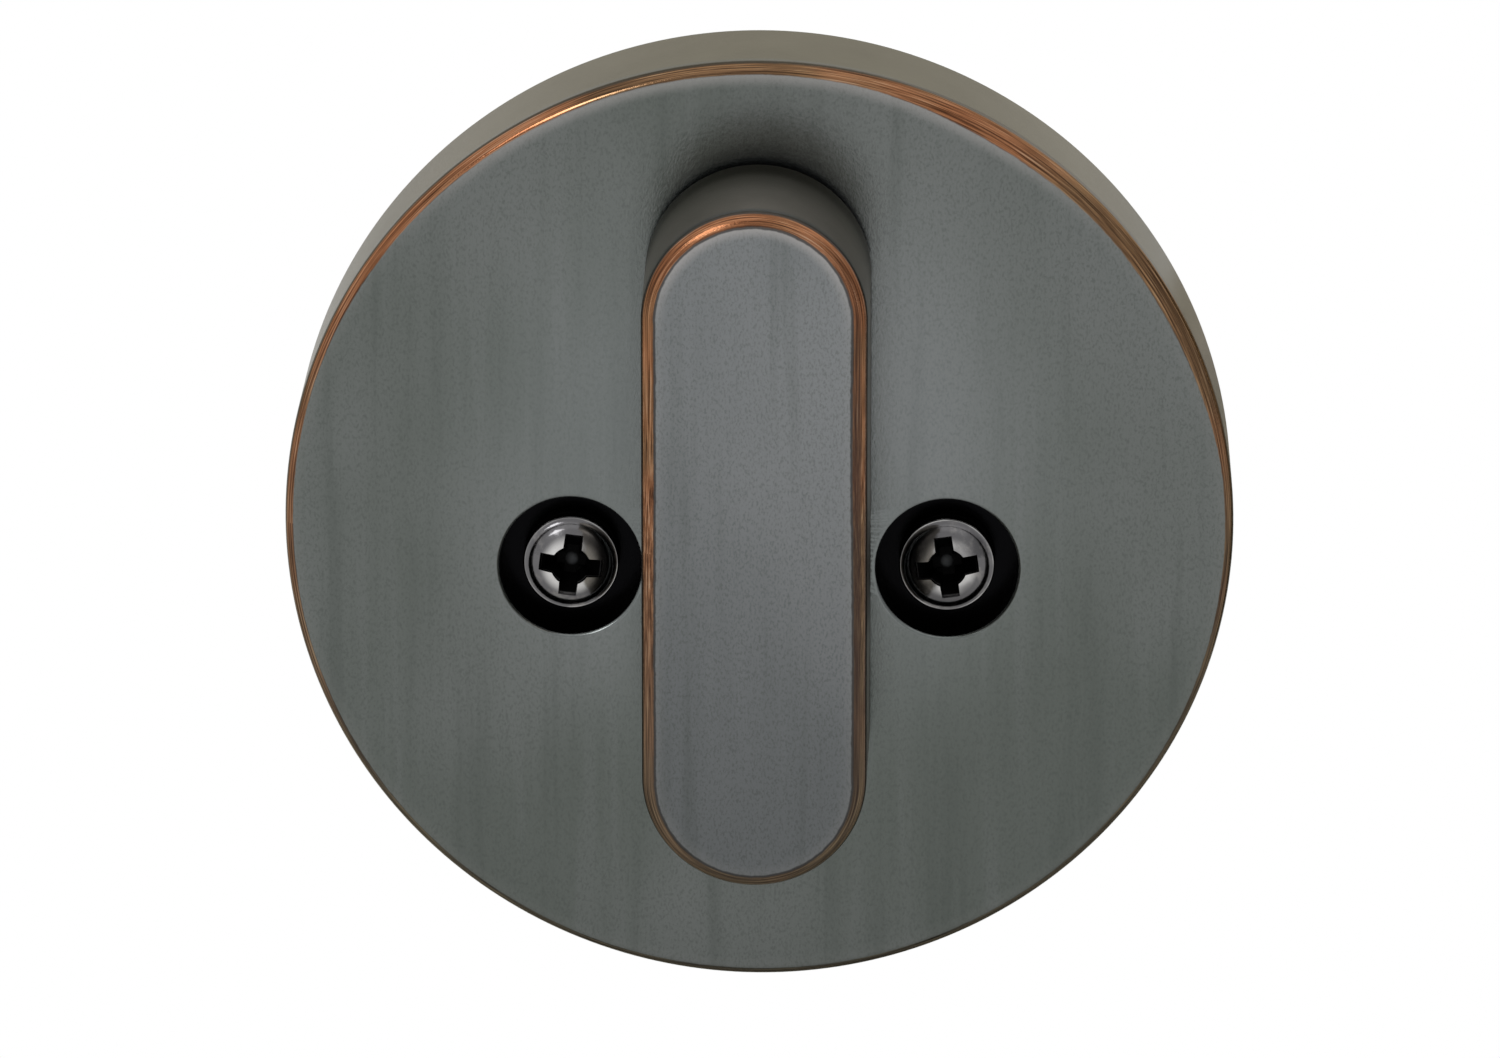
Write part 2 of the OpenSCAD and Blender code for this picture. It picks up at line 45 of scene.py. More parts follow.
MM = 0.001
Point = tuple[float, float]
Place = tuple[float, float, float]
Colour = tuple[float, float, float]
Stops = tuple[tuple[float, Colour], ...]
Socket = bpy.types.NodeSocket

X, Y, Z = range(3)
EVEN: Place = (1.0, 1.0, 1.0)

# Sizes that both a shape and its finish need, in millimetres: how much the turn
# widens toward its foot, the radius of the guard ring's front and the faceplate's
# corner radius.
TURN_FLARE = 0.1
GUARD_FRONT = 29.5
PLATE_CORNER = 6.35


class Side(Enum):
    """Which way a worn front face looks."""

    ROOM = "room"
    OUTDOORS = "outdoors"
    EDGE = "edge"


# ---------------------------------------------------------------- shader tools


class Graph:
    """A short way to wire one material's nodes."""

    def __init__(self, name: str) -> None:
        """Start an empty node material.

        Args:
            name: Name of the material.
        """
        self.material = bpy.data.materials.new(name)
        self.material.use_nodes = True
        self.tree = self.material.node_tree
        self.tree.nodes.clear()
        self.out = self.tree.nodes.new("ShaderNodeOutputMaterial")
        self.shader = self.tree.nodes.new("ShaderNodeBsdfPrincipled")
        self.tree.links.new(self.shader.outputs["BSDF"], self.out.inputs["Surface"])
        texture = self.tree.nodes.new("ShaderNodeTexCoord")
        self.object_space: Socket = texture.outputs["Object"]

    def _feed(self, socket: Socket, value: float | Sequence[float] | Socket) -> None:
        """Link a socket, or set its value."""
        if isinstance(value, bpy.types.NodeSocket):
            self.tree.links.new(value, socket)
        else:
            socket.default_value = value

    def math(self, kind: str, *values: float | Socket, clamp: bool = False) -> Socket:
        """Add a Math node.

        Args:
            kind: The node's operation.
            values: Its inputs, as numbers or sockets.
            clamp: Whether the result is kept between 0 and 1.

        Returns:
            The node's output.
        """
        node = self.tree.nodes.new("ShaderNodeMath")
        node.operation = kind
        node.use_clamp = clamp
        for socket, value in zip(node.inputs, values):
            self._feed(socket, value)
        return node.outputs[0]

    def step(self, value: Socket, low: float | Socket, high: float | Socket) -> Socket:
        """Rise smoothly from 0 at low to 1 at high.

        Args:
            value: What is measured.
            low: Where the rise starts.
            high: Where it ends.

        Returns:
            A value between 0 and 1.
        """
        node = self.tree.nodes.new("ShaderNodeMapRange")
        node.interpolation_type = "SMOOTHSTEP"
        self._feed(node.inputs["Value"], value)
        self._feed(node.inputs["From Min"], low)
        self._feed(node.inputs["From Max"], high)
        return node.outputs["Result"]

    def stretched(self, scale: Colour, turn: Colour = (0.0, 0.0, 0.0),
                  vector: Socket | None = None) -> Socket:
        """Scale and turn a coordinate.

        Args:
            scale: Scale along each axis.
            turn: Rotation about each axis, in radians.
            vector: The coordinate, or None for the object's own.

        Returns:
            The mapped coordinate.
        """
        node = self.tree.nodes.new("ShaderNodeMapping")
        self.tree.links.new(vector or self.object_space, node.inputs["Vector"])
        node.inputs["Scale"].default_value = scale
        node.inputs["Rotation"].default_value = turn
        return node.outputs["Vector"]

    def noise(self, vector: Socket, scale: float, detail: float = 3.0,
              rough: float = 0.55) -> Socket:
        """Add a noise texture.

        Args:
            vector: Coordinate to read.
            scale: Size of the pattern; larger is finer.
            detail: Number of octaves.
            rough: Strength of the finer octaves.

        Returns:
            A value around 0.5.
        """
        node = self.tree.nodes.new("ShaderNodeTexNoise")
        self.tree.links.new(vector, node.inputs["Vector"])
        node.inputs["Scale"].default_value = scale
        node.inputs["Detail"].default_value = detail
        node.inputs["Roughness"].default_value = rough
        return node.outputs["Fac"]

    def ramp(self, value: Socket, stops: Iterable[tuple[float, Colour]]) -> Socket:
        """Turn a value into a colour.

        Args:
            value: The value to read.
            stops: Pairs of position and linear colour.

        Returns:
            The colour.
        """
        node = self.tree.nodes.new("ShaderNodeValToRGB")
        items = node.color_ramp.elements
        for index, (place, colour) in enumerate(stops):
            item = items[index] if index < 2 else items.new(place)
            item.position = place
            item.color = (*colour, 1.0)
        self.tree.links.new(value, node.inputs["Fac"])
        return node.outputs["Color"]

    def blend(self, share: float | Socket, low: Colour | Socket, high: Colour | Socket,
              kind: str = "MIX") -> Socket:
        """Mix two colours.

        Args:
            share: How much of high shows.
            low: First colour.
            high: Second colour.
            kind: Blend type.

        Returns:
            The mixed colour.
        """
        node = self.tree.nodes.new("ShaderNodeMix")
        node.data_type = "RGBA"
        node.blend_type = kind
        self._feed(node.inputs["Factor"], share)
        for socket, value in ((node.inputs[6], low), (node.inputs[7], high)):
            self._feed(socket, value if isinstance(value, bpy.types.NodeSocket)
                       else (*value, 1.0))
        return node.outputs[2]

    def between(self, share: Socket, low: float, high: float) -> Socket:
        """Read a value between two numbers."""
        return self.math("ADD", self.math("MULTIPLY", share, high - low), low)

    def mottle(self, scale: float, detail: float, rough: float = 0.55) -> Socket:
        """Add a noise that is the same size along every axis."""
        return self.noise(self.stretched(EVEN), scale, detail, rough)

    def share(self, value: Socket, low: float, high: float, strength: float) -> Socket:
        """Rise smoothly from 0 at low to a strength at high."""
        return self.math("MULTIPLY", self.step(value, low, high), strength)

    def squares(self, u: Socket, v: Socket) -> Socket:
        """Add the squares of two lengths."""
        return self.math("ADD", self.math("MULTIPLY", u, u), self.math("MULTIPLY", v, v))

    def reach(self, u: Socket, v: Socket) -> Socket:
        """Measure the length of a vector in a plane."""
        return self.math("SQRT", self.squares(u, v))

    def packed(self, *parts: Socket) -> Socket:
        """Pack two or three values into a vector."""
        pack = self.tree.nodes.new("ShaderNodeCombineXYZ")
        for part, socket in zip(parts, pack.inputs):
            self.tree.links.new(part, socket)
        return pack.outputs[0]

    def circles(self, height: float) -> Socket:
        """Make a coordinate that runs round a lathe's axis, which lies along Y.

        Args:
            height: The axis's height, in millimetres.

        Returns:
            Distance from the axis, way round it and place along it.
        """
        x, y, z = self.millimetres()
        lifted = self.math("SUBTRACT", z, height)
        around = self.math("MULTIPLY", self.math("ARCTAN2", lifted, x), 0.3)
        return self.packed(self.reach(x, lifted), around, y)

    def scaled(self, colour: Socket | Colour, factor: Socket | float) -> Socket:
        """Brighten or darken a colour by a factor."""
        node = self.tree.nodes.new("ShaderNodeVectorMath")
        node.operation = "SCALE"
        self._feed(node.inputs[0], colour)
        self._feed(node.inputs["Scale"], factor)
        return node.outputs["Vector"]

    def bump(self, height: Socket, strength: float, reach: float) -> None:
        """Raise the surface's shading by a height, in metres of reach."""
        node = self.tree.nodes.new("ShaderNodeBump")
        node.inputs["Strength"].default_value = strength
        node.inputs["Distance"].default_value = reach
        self.tree.links.new(height, node.inputs["Height"])
        self.tree.links.new(node.outputs["Normal"], self.shader.inputs["Normal"])

    def finish(self, colour: Socket | Colour, rough: Socket | float,
               metal: Socket | float) -> bpy.types.Material:
        """Set the shader's main inputs.

        Args:
            colour: Base colour.
            rough: Roughness.
            metal: Metallic share.

        Returns:
            The finished material.
        """
        if isinstance(colour, bpy.types.NodeSocket):
            self._feed(self.shader.inputs["Base Color"], colour)
        else:
            self.shader.inputs["Base Color"].default_value = (*colour, 1.0)
        self._feed(self.shader.inputs["Roughness"], rough)
        self._feed(self.shader.inputs["Metallic"], metal)
        return self.material

    def millimetres(self) -> tuple[Socket, Socket, Socket]:
        """Give the object's X, Y and Z in millimetres."""
        node = self.tree.nodes.new("ShaderNodeSeparateXYZ")
        self.tree.links.new(self.stretched((1 / MM, 1 / MM, 1 / MM)), node.inputs[0])
        return node.outputs[0], node.outputs[1], node.outputs[2]


# -------------------------------------------------------------------- finishes


@dataclass(frozen=True)
class Rim:
    """The outline of a front face whose edge is worn, in millimetres.

    The outline is a rounded rectangle: a circle has no straight part.
    """

    side: Side
    plane: float
    radius: float
    centre: Point = (0.0, 0.0)
    straight: Point = (0.0, 0.0)

    def upright(self, graph: Graph) -> Socket:
        """Measure the height, from -1 at the outline's bottom to 1 at its top."""
        height = graph.math("SUBTRACT", graph.millimetres()[2], self.centre[1])
        return graph.math("DIVIDE", height, self.straight[1] + self.radius)

    def distances(self, graph: Graph) -> tuple[Socket, Socket, Socket]:
        """Measure from the front face's edge.

        Args:
            graph: The material to add nodes to.

        Returns:
            The way in from the outline, the way back from the face, and an angle
            round the outline in turns.
        """
        x, y, z = graph.millimetres()
        across = y if self.side is Side.EDGE else x
        along = x if self.side is Side.EDGE else y
        u = graph.math("SUBTRACT", across, self.centre[0])
        v = graph.math("SUBTRACT", z, self.centre[1])
        outside = []
        for value, half in ((u, self.straight[0]), (v, self.straight[1])):
            beyond = graph.math("SUBTRACT", graph.math("ABSOLUTE", value), half)
            outside.append(graph.math("MAXIMUM", beyond, 0.0))
        inward = graph.math("SUBTRACT", self.radius, graph.reach(*outside))
        if self.side is Side.ROOM:
            back = graph.math("SUBTRACT", along, self.plane)
        else:
            back = graph.math("SUBTRACT", self.plane, along)
        turn = graph.math("ARCTAN2", v, u)
        return inward, back, turn


@dataclass(frozen=True)
class Wear:
    """How far a front edge is worn, in millimetres.

    The copper starts on the side wall, runs over the edge and ends on the face.
    Where lift is more than 0 it is wider along the top than along the bottom,
    and patch widens it once more about one angle. The pale line just inside the
    copper on the face is a painted highlight, strongest along the top. The tarnish
    share is painted shade that dulls the copper downward, and right paints shade
    on the right side, brown, with a painted highlight as its pale outer line.
    """

    on_face: float = 0.6
    on_side: float = 0.9
    lift: float = 0.0
    patch: float = 0.0
    patch_angle: float = 0.75
    dark_inside: float = 0.0
    dark_outside: float = 0.8
    # pale and highlight_width set the strength and width of a painted highlight line just
    # inside the copper.
    pale: float = 0.5
    highlight_width: float = 0.7
    ragged: float = 0.12
    low_shade: float = 1.0
    # right sets painted shade on the right side's copper, with a painted highlight line.
    right: float = 0.0


# Painted highlight: the pale line on the face's side of each worn edge.
EDGE_HIGHLIGHT: Colour = (0.42, 0.4, 0.39)
LINE_INSIDE: Colour = (0.03, 0.026, 0.024)
LINE_OUTSIDE: Colour = (0.03, 0.022, 0.016)
# Painted shade and a painted highlight line for the copper on the right side.
RIGHT_SHADE_BROWN: Colour = (0.06, 0.038, 0.032)
RIGHT_HIGHLIGHT_LINE: Colour = (0.3, 0.2, 0.165)
# Painted shade inside the screw holes.
HOLE_SHADE_BLACK: Colour = (0.004, 0.004, 0.0045)
# The bluish tint of a painted pool of light.
GLOW_TINT: Colour = (0.185, 0.193, 0.215)
# Painted shade toward a piece's foot, dark and then near black.
FOOT_SHADE: Colour = (0.03, 0.029, 0.029)
FOOT_SHADE_BLACK: Colour = (0.008, 0.008, 0.008)
COPPER_BROWN: Stops = ((0.34, (0.03, 0.018, 0.011)), (0.48, (0.145, 0.082, 0.044)),
                       (0.58, (0.28, 0.16, 0.08)), (0.72, (0.5, 0.36, 0.23)))
COPPER_RED: Stops = ((0.34, (0.045, 0.02, 0.012)), (0.48, (0.23, 0.093, 0.043)),
                     (0.58, (0.42, 0.19, 0.095)), (0.72, (0.58, 0.41, 0.29)))
# The dull olive that painted shade gives the copper toward the bottom.
COPPER_OLIVE: Stops = ((0.34, (0.018, 0.016, 0.012)), (0.48, (0.07, 0.063, 0.05)),
                       (0.58, (0.11, 0.094, 0.066)), (0.72, (0.24, 0.2, 0.12)))


@dataclass(frozen=True)
class WornBronze:
    """Dark oil-rubbed bronze whose edges are worn down to copper.

    The tone is painted light and shade: it lightens the bronze upward and darkens it
    downward. The glow is painted light, a lighter round pool about the centre. The
    foot is how far back a piece's own foot lies, toward which painted shade darkens it.
    """

    name: str
    rim: Rim | None = None
    wear: Wear = Wear()
    slate: Colour = (0.124, 0.137, 0.127)
    pale: Colour = (0.164, 0.174, 0.17)
    deep: Colour = (0.082, 0.093, 0.085)
    wall: Colour = (0.15, 0.142, 0.108)
    rough: Point = (0.26, 0.36)
    sinks: tuple[Point, ...] = ()
    sink_radius: float = 5.25
    top_light: Point = (0.0, 1.0)
    glow: Place = (0.0, 1.0, 0.0)
    foot: float = 0.0
    relief: float = 0.1
    tint: float = 0.6

    def _patina(self, graph: Graph) -> tuple[Socket, Socket]:
        """Make the dark ground: soft clouds, upright streaks and fine specks.

        Args:
            graph: The material to add nodes to.

        Returns:
            The colour and the speck pattern.
        """
        clouds = graph.noise(graph.stretched((1.0, 1.0, 0.7)), 42.0, 2.0)
        streaks = graph.noise(graph.stretched((1.0, 1.0, 0.05)), 520.0, 4.0, 0.6)
        specks = graph.noise(graph.stretched((1.0, 1.0, 0.6)), 6500.0, 2.0, 0.7)
        ground = graph.blend(graph.step(clouds, 0.36, 0.66), self.slate, self.pale)
        ground = graph.blend(graph.share(streaks, 0.5, 0.7, 0.4), ground, self.pale)
        ground = graph.blend(graph.share(streaks, 0.5, 0.3, 0.3), ground, self.deep)
        ground = graph.blend(graph.share(specks, 0.45, 0.7, 0.45), ground, self.deep)
        return ground, specks

    def _copper(self, graph: Graph, turn: Socket, across: Socket, dull: Socket) -> Socket:
        """Make the bared copper with brush lines along the edge, redder on the left as painted
        light.

        Args:
            graph: The material to add nodes to.
            turn: Angle round the outline.
            across: Way over the edge, from the side wall to the face.
            dull: How far painted shade toward the bottom turns it dull olive.

        Returns:
            The colour.
        """
        lines = graph.noise(graph.packed(graph.math("MULTIPLY", turn, 4.0),
                                         graph.math("MULTIPLY", across, 6.0)), 1.0, 4.0, 0.7)
        # The hue varies at random; painted light makes it redder and brighter on the left side
        # and browner on the right.
        side_light = graph.math("MULTIPLY", graph.math("COSINE", turn), 0.12)
        hue = graph.math("SUBTRACT", graph.mottle(70.0, 2.0), side_light)
        brown, red, olive = (graph.ramp(lines, stops)
                             for stops in (COPPER_BROWN, COPPER_RED, COPPER_OLIVE))
        return graph.blend(dull, graph.blend(graph.step(hue, 0.42, 0.62), brown, red), olive)

    def _uneven(self, graph: Graph, turn: Socket, high: Socket) -> Socket:
        """Vary the worn edge's width, from place to place and by height.

        Args:
            graph: The material to add nodes to.
            turn: Angle round the outline.
            high: 1 near the outline's top, 0 elsewhere.

        Returns:
            A factor around 0.8 on the edge's width.
        """
        wear = self.wear
        wander = graph.math("MULTIPLY", graph.mottle(32.0, 2.0, 0.5), 0.5)
        nicks = graph.math("MULTIPLY", graph.mottle(1300.0, 3.0, 0.7), wear.ragged)
        uneven = graph.math("ADD", graph.math("ADD", wander, nicks), 0.55 - wear.ragged / 2)
        if not wear.lift:
            return uneven
        lifted = graph.math("ADD", graph.math("MULTIPLY", high, wear.lift), 1 - wear.lift)
        near = graph.math("COSINE", graph.math("SUBTRACT", turn, wear.patch_angle))
        spot = graph.share(near, 0.8, 0.98, wear.patch)
        return graph.math("MULTIPLY", uneven, graph.math("ADD", lifted, spot))

    def _painted_right_shade(self, graph: Graph, turn: Socket, inward: Socket, worn: Socket,
                    colour: Socket) -> Socket:
        """Paint shade on the right side's copper, brown, with a painted highlight as its outer
        line.

        Args:
            graph: The material to add nodes to.
            turn: Angle round the outline.
            inward: Way in from the outline.
            worn: Where the copper shows.
            colour: The colour so far.

        Returns:
            The colour.
        """
        side = graph.share(graph.math("COSINE", turn), 0.1, 0.7, self.wear.right)
        side = graph.math("MULTIPLY", side, worn)
        # Painted shade, brown, inside; a painted highlight line at the outer edge.
        for low, high, shade in ((0.3, 0.55, RIGHT_SHADE_BROWN), (0.25, 0.05, RIGHT_HIGHLIGHT_LINE)):
            part = graph.math("MULTIPLY", side, graph.step(inward, low, high))
            colour = graph.blend(part, colour, shade)
        return colour

    def _edge(self, graph: Graph, rim: Rim, ground: Socket) -> tuple[Socket, Socket]:
        """Lay the worn edge over the ground, with painted highlight and shade on and beside
        it.

        Args:
            graph: The material to add nodes to.
            rim: The outline of the face.
            ground: Colour of the patina.

        Returns:
            The colour, and where the copper shows.
        """
        wear = self.wear
        inward, back, turn = rim.distances(graph)
        upright = rim.upright(graph)
        high = graph.step(upright, 0.6, 0.9)
        uneven = self._uneven(graph, turn, high)
        face_edge = graph.math("MULTIPLY", uneven, wear.on_face * 1.25)
        side_edge = graph.math("MULTIPLY", uneven, wear.on_side * 1.25)

        def nearer(value: Socket, edge: Socket, full: float, none: float) -> Socket:
            """Fade from 1 at full times the edge to 0 at none times it."""
            return graph.step(value, graph.math("MULTIPLY", edge, none),
                              graph.math("MULTIPLY", edge, full))

        on_side = nearer(back, side_edge, 0.7, 1.05)
        on_face = nearer(inward, face_edge, 0.88, 1.05)
        worn = graph.math("MULTIPLY", on_face, on_side)
        wall = graph.scaled(self.wall, graph.between(graph.mottle(160.0, 3.0), 0.75, 1.25))
        ground = graph.blend(graph.step(back, 1.2, 2.2), ground, wall)
        # Painted highlight: a pale line just inside the copper on the face, strongest along
        # the top.
        soft = graph.math("SUBTRACT", 1.0, graph.step(inward, face_edge, graph.math(
            "ADD", face_edge, wear.highlight_width)))
        soft = graph.math("MULTIPLY", graph.math("MULTIPLY", soft, on_side), wear.pale)
        soft = graph.math("MULTIPLY", soft, graph.between(high, 0.12, 1.0))
        colour = graph.blend(soft, ground, EDGE_HIGHLIGHT)
        ring = graph.math("MULTIPLY", graph.math("MULTIPLY", nearer(
            inward, face_edge, 1.1, 1.22), on_side), wear.dark_inside)
        colour = graph.blend(ring, colour, LINE_INSIDE)
        outer = graph.math("MULTIPLY", graph.math("MULTIPLY", nearer(
            back, side_edge, 1.3, 1.7), on_face), wear.dark_outside)
        colour = graph.blend(outer, colour, LINE_OUTSIDE)
        across = graph.math("SUBTRACT", back, inward)
        # Painted shade: the copper turns dull olive toward the bottom.
        dull = graph.math("MULTIPLY", graph.step(upright, 0.65, -0.75), wear.low_shade)
        colour = graph.blend(worn, colour, self._copper(graph, turn, across, dull))
        if wear.right:
            colour = self._painted_right_shade(graph, turn, inward, worn, colour)
        return self._painted_hole_shade(graph, back, colour), worn

    def _painted_hole_shade(self, graph: Graph, back: Socket, colour: Socket) -> Socket:
        """Paint shade, near black, inside the screw holes below the face.

        Args:
            graph: The material to add nodes to.
            back: Way back from the face.
            colour: The colour everywhere else.

        Returns:
            The colour.
        """
        x, _, z = graph.millimetres()
        # Painted shade: black on the holes' walls and floors.
        for place in self.sinks:
            du = graph.math("SUBTRACT", x, place[0])
            dv = graph.math("SUBTRACT", z, place[1])
            near = graph.step(graph.reach(du, dv), self.sink_radius + 0.1,
                              self.sink_radius - 0.1)
            deep = graph.step(back, 0.15, 0.4)
            colour = graph.blend(graph.math("MULTIPLY", near, deep), colour, HOLE_SHADE_BLACK)
        return colour

    def _painted_light(self, graph: Graph, ground: Socket) -> Socket:
        """Paint light on the ground: lighter upward, darker downward, and lighter about the
        centre.

        Args:
            graph: The material to add nodes to.
            ground: Colour of the patina.

        Returns:
            The colour.
        """
        x, _, z = graph.millimetres()
        # Painted light and shade: lighter upward, darker downward.
        strength, height = self.top_light
        if strength:
            rise = graph.step(z, -height, height)
            ground = graph.scaled(ground, graph.between(rise, 1 - strength, 1 + strength))
        # Painted light: a lighter, bluer round pool about the centre.
        strength, radius, centre = self.glow
        if strength:
            reach = graph.reach(x, graph.math("SUBTRACT", z, centre))
            light = graph.step(reach, radius, radius * 0.25)
            ground = graph.scaled(ground, graph.between(light, 1.0, 1 + strength))
            ground = graph.blend(graph.math("MULTIPLY", light, 0.35), ground, GLOW_TINT)
        return ground

    def _painted_foot_shade(self, graph: Graph, rim: Rim, colour: Socket) -> Socket:
        """Paint shade on a piece toward its foot, where it meets the surface behind it.

        Args:
            graph: The material to add nodes to.
            rim: The outline of the face.
            colour: The colour so far.

        Returns:
            The colour.
        """
        _, back, _ = rim.distances(graph)
        # Painted shade: dark, then near black, toward the foot.
        for start, end, share, shade in ((9.0, 1.0, 0.75, FOOT_SHADE),
                                         (4.8, 2.4, 0.9, FOOT_SHADE_BLACK)):
            foot_shade_share = graph.share(back, self.foot - start, self.foot - end, share)
            colour = graph.blend(foot_shade_share, colour, shade)
        return colour

    def build(self) -> bpy.types.Material:
        """Build the material.

        Returns:
            The material, ready to assign.
        """
        graph = Graph(self.name)
        ground, specks = self._patina(graph)
        ground = self._painted_light(graph, ground)
        fine = graph.mottle(2600.0, 3.0, 0.6)
        rough = graph.between(fine, self.rough[0], self.rough[1])
        if self.rim is not None:
            ground, worn = self._edge(graph, self.rim, ground)
            rough = graph.math("SUBTRACT", rough, graph.math("MULTIPLY", worn, 0.08))
            # Painted shade toward the piece's foot.
            if self.foot:
                ground = self._painted_foot_shade(graph, self.rim, ground)
        graph.bump(graph.math("ADD", specks, fine), self.relief, 0.00012)
        graph.shader.inputs["Specular Tint"].default_value = (
            self.tint, self.tint * 0.96, self.tint * 0.88, 1.0)
        return graph.finish(ground, rough, 1.0)


@dataclass(frozen=True)
class Brushed:
    """Plain metal with a brushed grain, stains and rubbed patches.

    Where turned is given it is the height of a lathe's axis that runs along Y,
    and the grain follows circles about it.
    """

    name: str
    light: Colour
    dark: Colour
    grain: Colour = (1.0, 0.06, 1.0)
    rough: Point = (0.22, 0.42)
    fine: float = 1800.0
    bump: float = 0.1
    stain: float = 0.4
    turned: float | None = None

    def build(self) -> bpy.types.Material:
        """Build the material.

        Returns:
            The material, ready to assign.
        """
        graph = Graph(self.name)
        if self.turned is None:
            hair = graph.noise(graph.stretched(self.grain), self.fine, 3.0, 0.6)
        else:
            hair = graph.noise(graph.circles(self.turned), 2.6, 3.0, 0.6)
        cloud = graph.mottle(120.0, 3.0)
        spot = graph.mottle(700.0, 2.0, 0.6)
        colour = graph.blend(graph.share(cloud, 0.62, 0.32, self.stain), self.light, self.dark)
        colour = graph.blend(graph.share(hair, 0.5, 0.3, 0.4), colour, self.dark)
        colour = graph.blend(graph.share(spot, 0.6, 0.78, 0.3), colour, self.dark)
        rough = graph.between(hair, self.rough[0], self.rough[1])
        graph.bump(hair, self.bump, 0.0001)
        return graph.finish(colour, rough, 1.0)


@dataclass(frozen=True)
class Plated:
    """Yellowish zinc plating over stamped steel, mottled and a little dull."""

    name: str
    light: Colour = (0.6, 0.57, 0.48)
    dark: Colour = (0.47, 0.44, 0.37)
    tint: Colour = (0.52, 0.45, 0.47)

    def build(self) -> bpy.types.Material:
        """Build the material.

        Returns:
            The material, ready to assign.
        """
        graph = Graph(self.name)
        cloud = graph.mottle(160.0, 4.0, 0.6)
        film = graph.mottle(60.0, 2.0)
        grain = graph.noise(graph.stretched((0.1, 1.0, 1.0)), 1500.0, 3.0)
        colour = graph.blend(graph.step(cloud, 0.3, 0.7), self.dark, self.light)
        colour = graph.blend(graph.share(film, 0.45, 0.65, 0.2), colour, self.tint)
        rough = graph.between(cloud, 0.28, 0.5)
        graph.bump(grain, 0.08, 0.0001)
        return graph.finish(colour, rough, 0.95)


@dataclass(frozen=True)
class DieCast:
    """Raw die-cast zinc alloy, dull grey and grainy."""

    name: str
    light: Colour = (0.4, 0.4, 0.39)
    dark: Colour = (0.22, 0.22, 0.215)

    def build(self) -> bpy.types.Material:
        """Build the material.

        Returns:
            The material, ready to assign.
        """
        graph = Graph(self.name)
        cloud = graph.mottle(110.0, 4.0, 0.6)
        grit = graph.mottle(2400.0, 3.0, 0.7)
        colour = graph.blend(graph.step(cloud, 0.3, 0.72), self.dark, self.light)
        colour = graph.blend(graph.share(grit, 0.55, 0.75, 0.4), colour, self.dark)
        graph.bump(grit, 0.25, 0.00015)
        return graph.finish(colour, graph.between(grit, 0.45, 0.68), 0.8)


@dataclass(frozen=True)
class BlackScrew:
    """Polished black nickel screw: painted highlights by cross and rim, painted shade in cross
    and under head.
    """

    name: str
    centre: Point
    crown: float
    ball: float
    body: Colour = (0.15, 0.147, 0.152)
    rubbed: Colour = (0.26, 0.25, 0.245)
    # bare is a painted highlight colour; hidden and pit are painted shade.
    glint: Colour = (0.66, 0.65, 0.64)
    hidden: Colour = (0.004, 0.004, 0.004)
    pit: Colour = (0.06, 0.062, 0.064)

    def build(self) -> bpy.types.Material:
        """Build the material.

        Returns:
            The material, ready to assign.
        """
        graph = Graph(self.name)
        x, y, z = graph.millimetres()
        u = graph.math("SUBTRACT", x, self.centre[0])
        v = graph.math("SUBTRACT", z, self.centre[1])
        squares = graph.squares(u, v)
        fall = graph.math("DIVIDE", squares, 2 * self.ball)
        sunk = graph.math("SUBTRACT", graph.math("SUBTRACT", y, self.crown), fall)
        spot = graph.mottle(800.0, 3.0, 0.65)
        haze = graph.mottle(1500.0, 2.0)
        colour = graph.blend(graph.step(spot, 0.5, 0.72), self.body, self.rubbed)
        patchy = graph.mottle(420.0, 2.0)
        # Painted highlights in patches about the cross.
        near = graph.step(squares, 5.2, 2.2)
        glint = graph.math("MULTIPLY", near, graph.between(graph.step(patchy, 0.42, 0.58),
                                                          0.35, 1.0))
        colour = graph.blend(glint, colour, self.glint)
        # Painted highlight: a thin bright line round the head's rim.
        rim = graph.math("MULTIPLY", graph.step(squares, 9.9, 10.5),
                         graph.step(y, self.crown + 2.2, self.crown + 1.6))
        colour = graph.blend(graph.math("MULTIPLY", rim, graph.between(
            graph.step(patchy, 0.4, 0.6), 0.1, 0.6)), colour, self.glint)
        # Painted shade: black in the cross and below the head, a little less dark at the
        # cross's centre.
        recess = graph.math("MULTIPLY", graph.step(sunk, 0.16, 0.4),
                            graph.step(squares, 6.9, 6.3))
        dark = graph.math("MAXIMUM", recess, graph.step(y, self.crown + 1.9, self.crown + 2.3))
        colour = graph.blend(dark, colour, self.hidden)
        colour = graph.blend(graph.math("MULTIPLY", graph.step(squares, 0.3, 0.1), recess),
                             colour, self.pit)
        rough = graph.math("ADD", graph.between(spot, 0.1, 0.24),
                           graph.math("MULTIPLY", dark, 0.4))
        graph.bump(haze, 0.12, 0.0001)
        return graph.finish(colour, rough, 1.0)


@dataclass(frozen=True)
class PaleFloor:
    """A plain pale floor with a barely visible mottle."""

    name: str

    def build(self) -> bpy.types.Material:
        """Build the material.

        Returns:
            The material, ready to assign.
        """
        graph = Graph(self.name)
        cloud = graph.mottle(14.0, 3.0)
        colour = graph.ramp(cloud, [(0.3, (0.8, 0.8, 0.79)), (0.7, (0.84, 0.84, 0.83))])
        return graph.finish(colour, 0.7, 0.0)


# ------------------------------------------------------------------ mesh tools


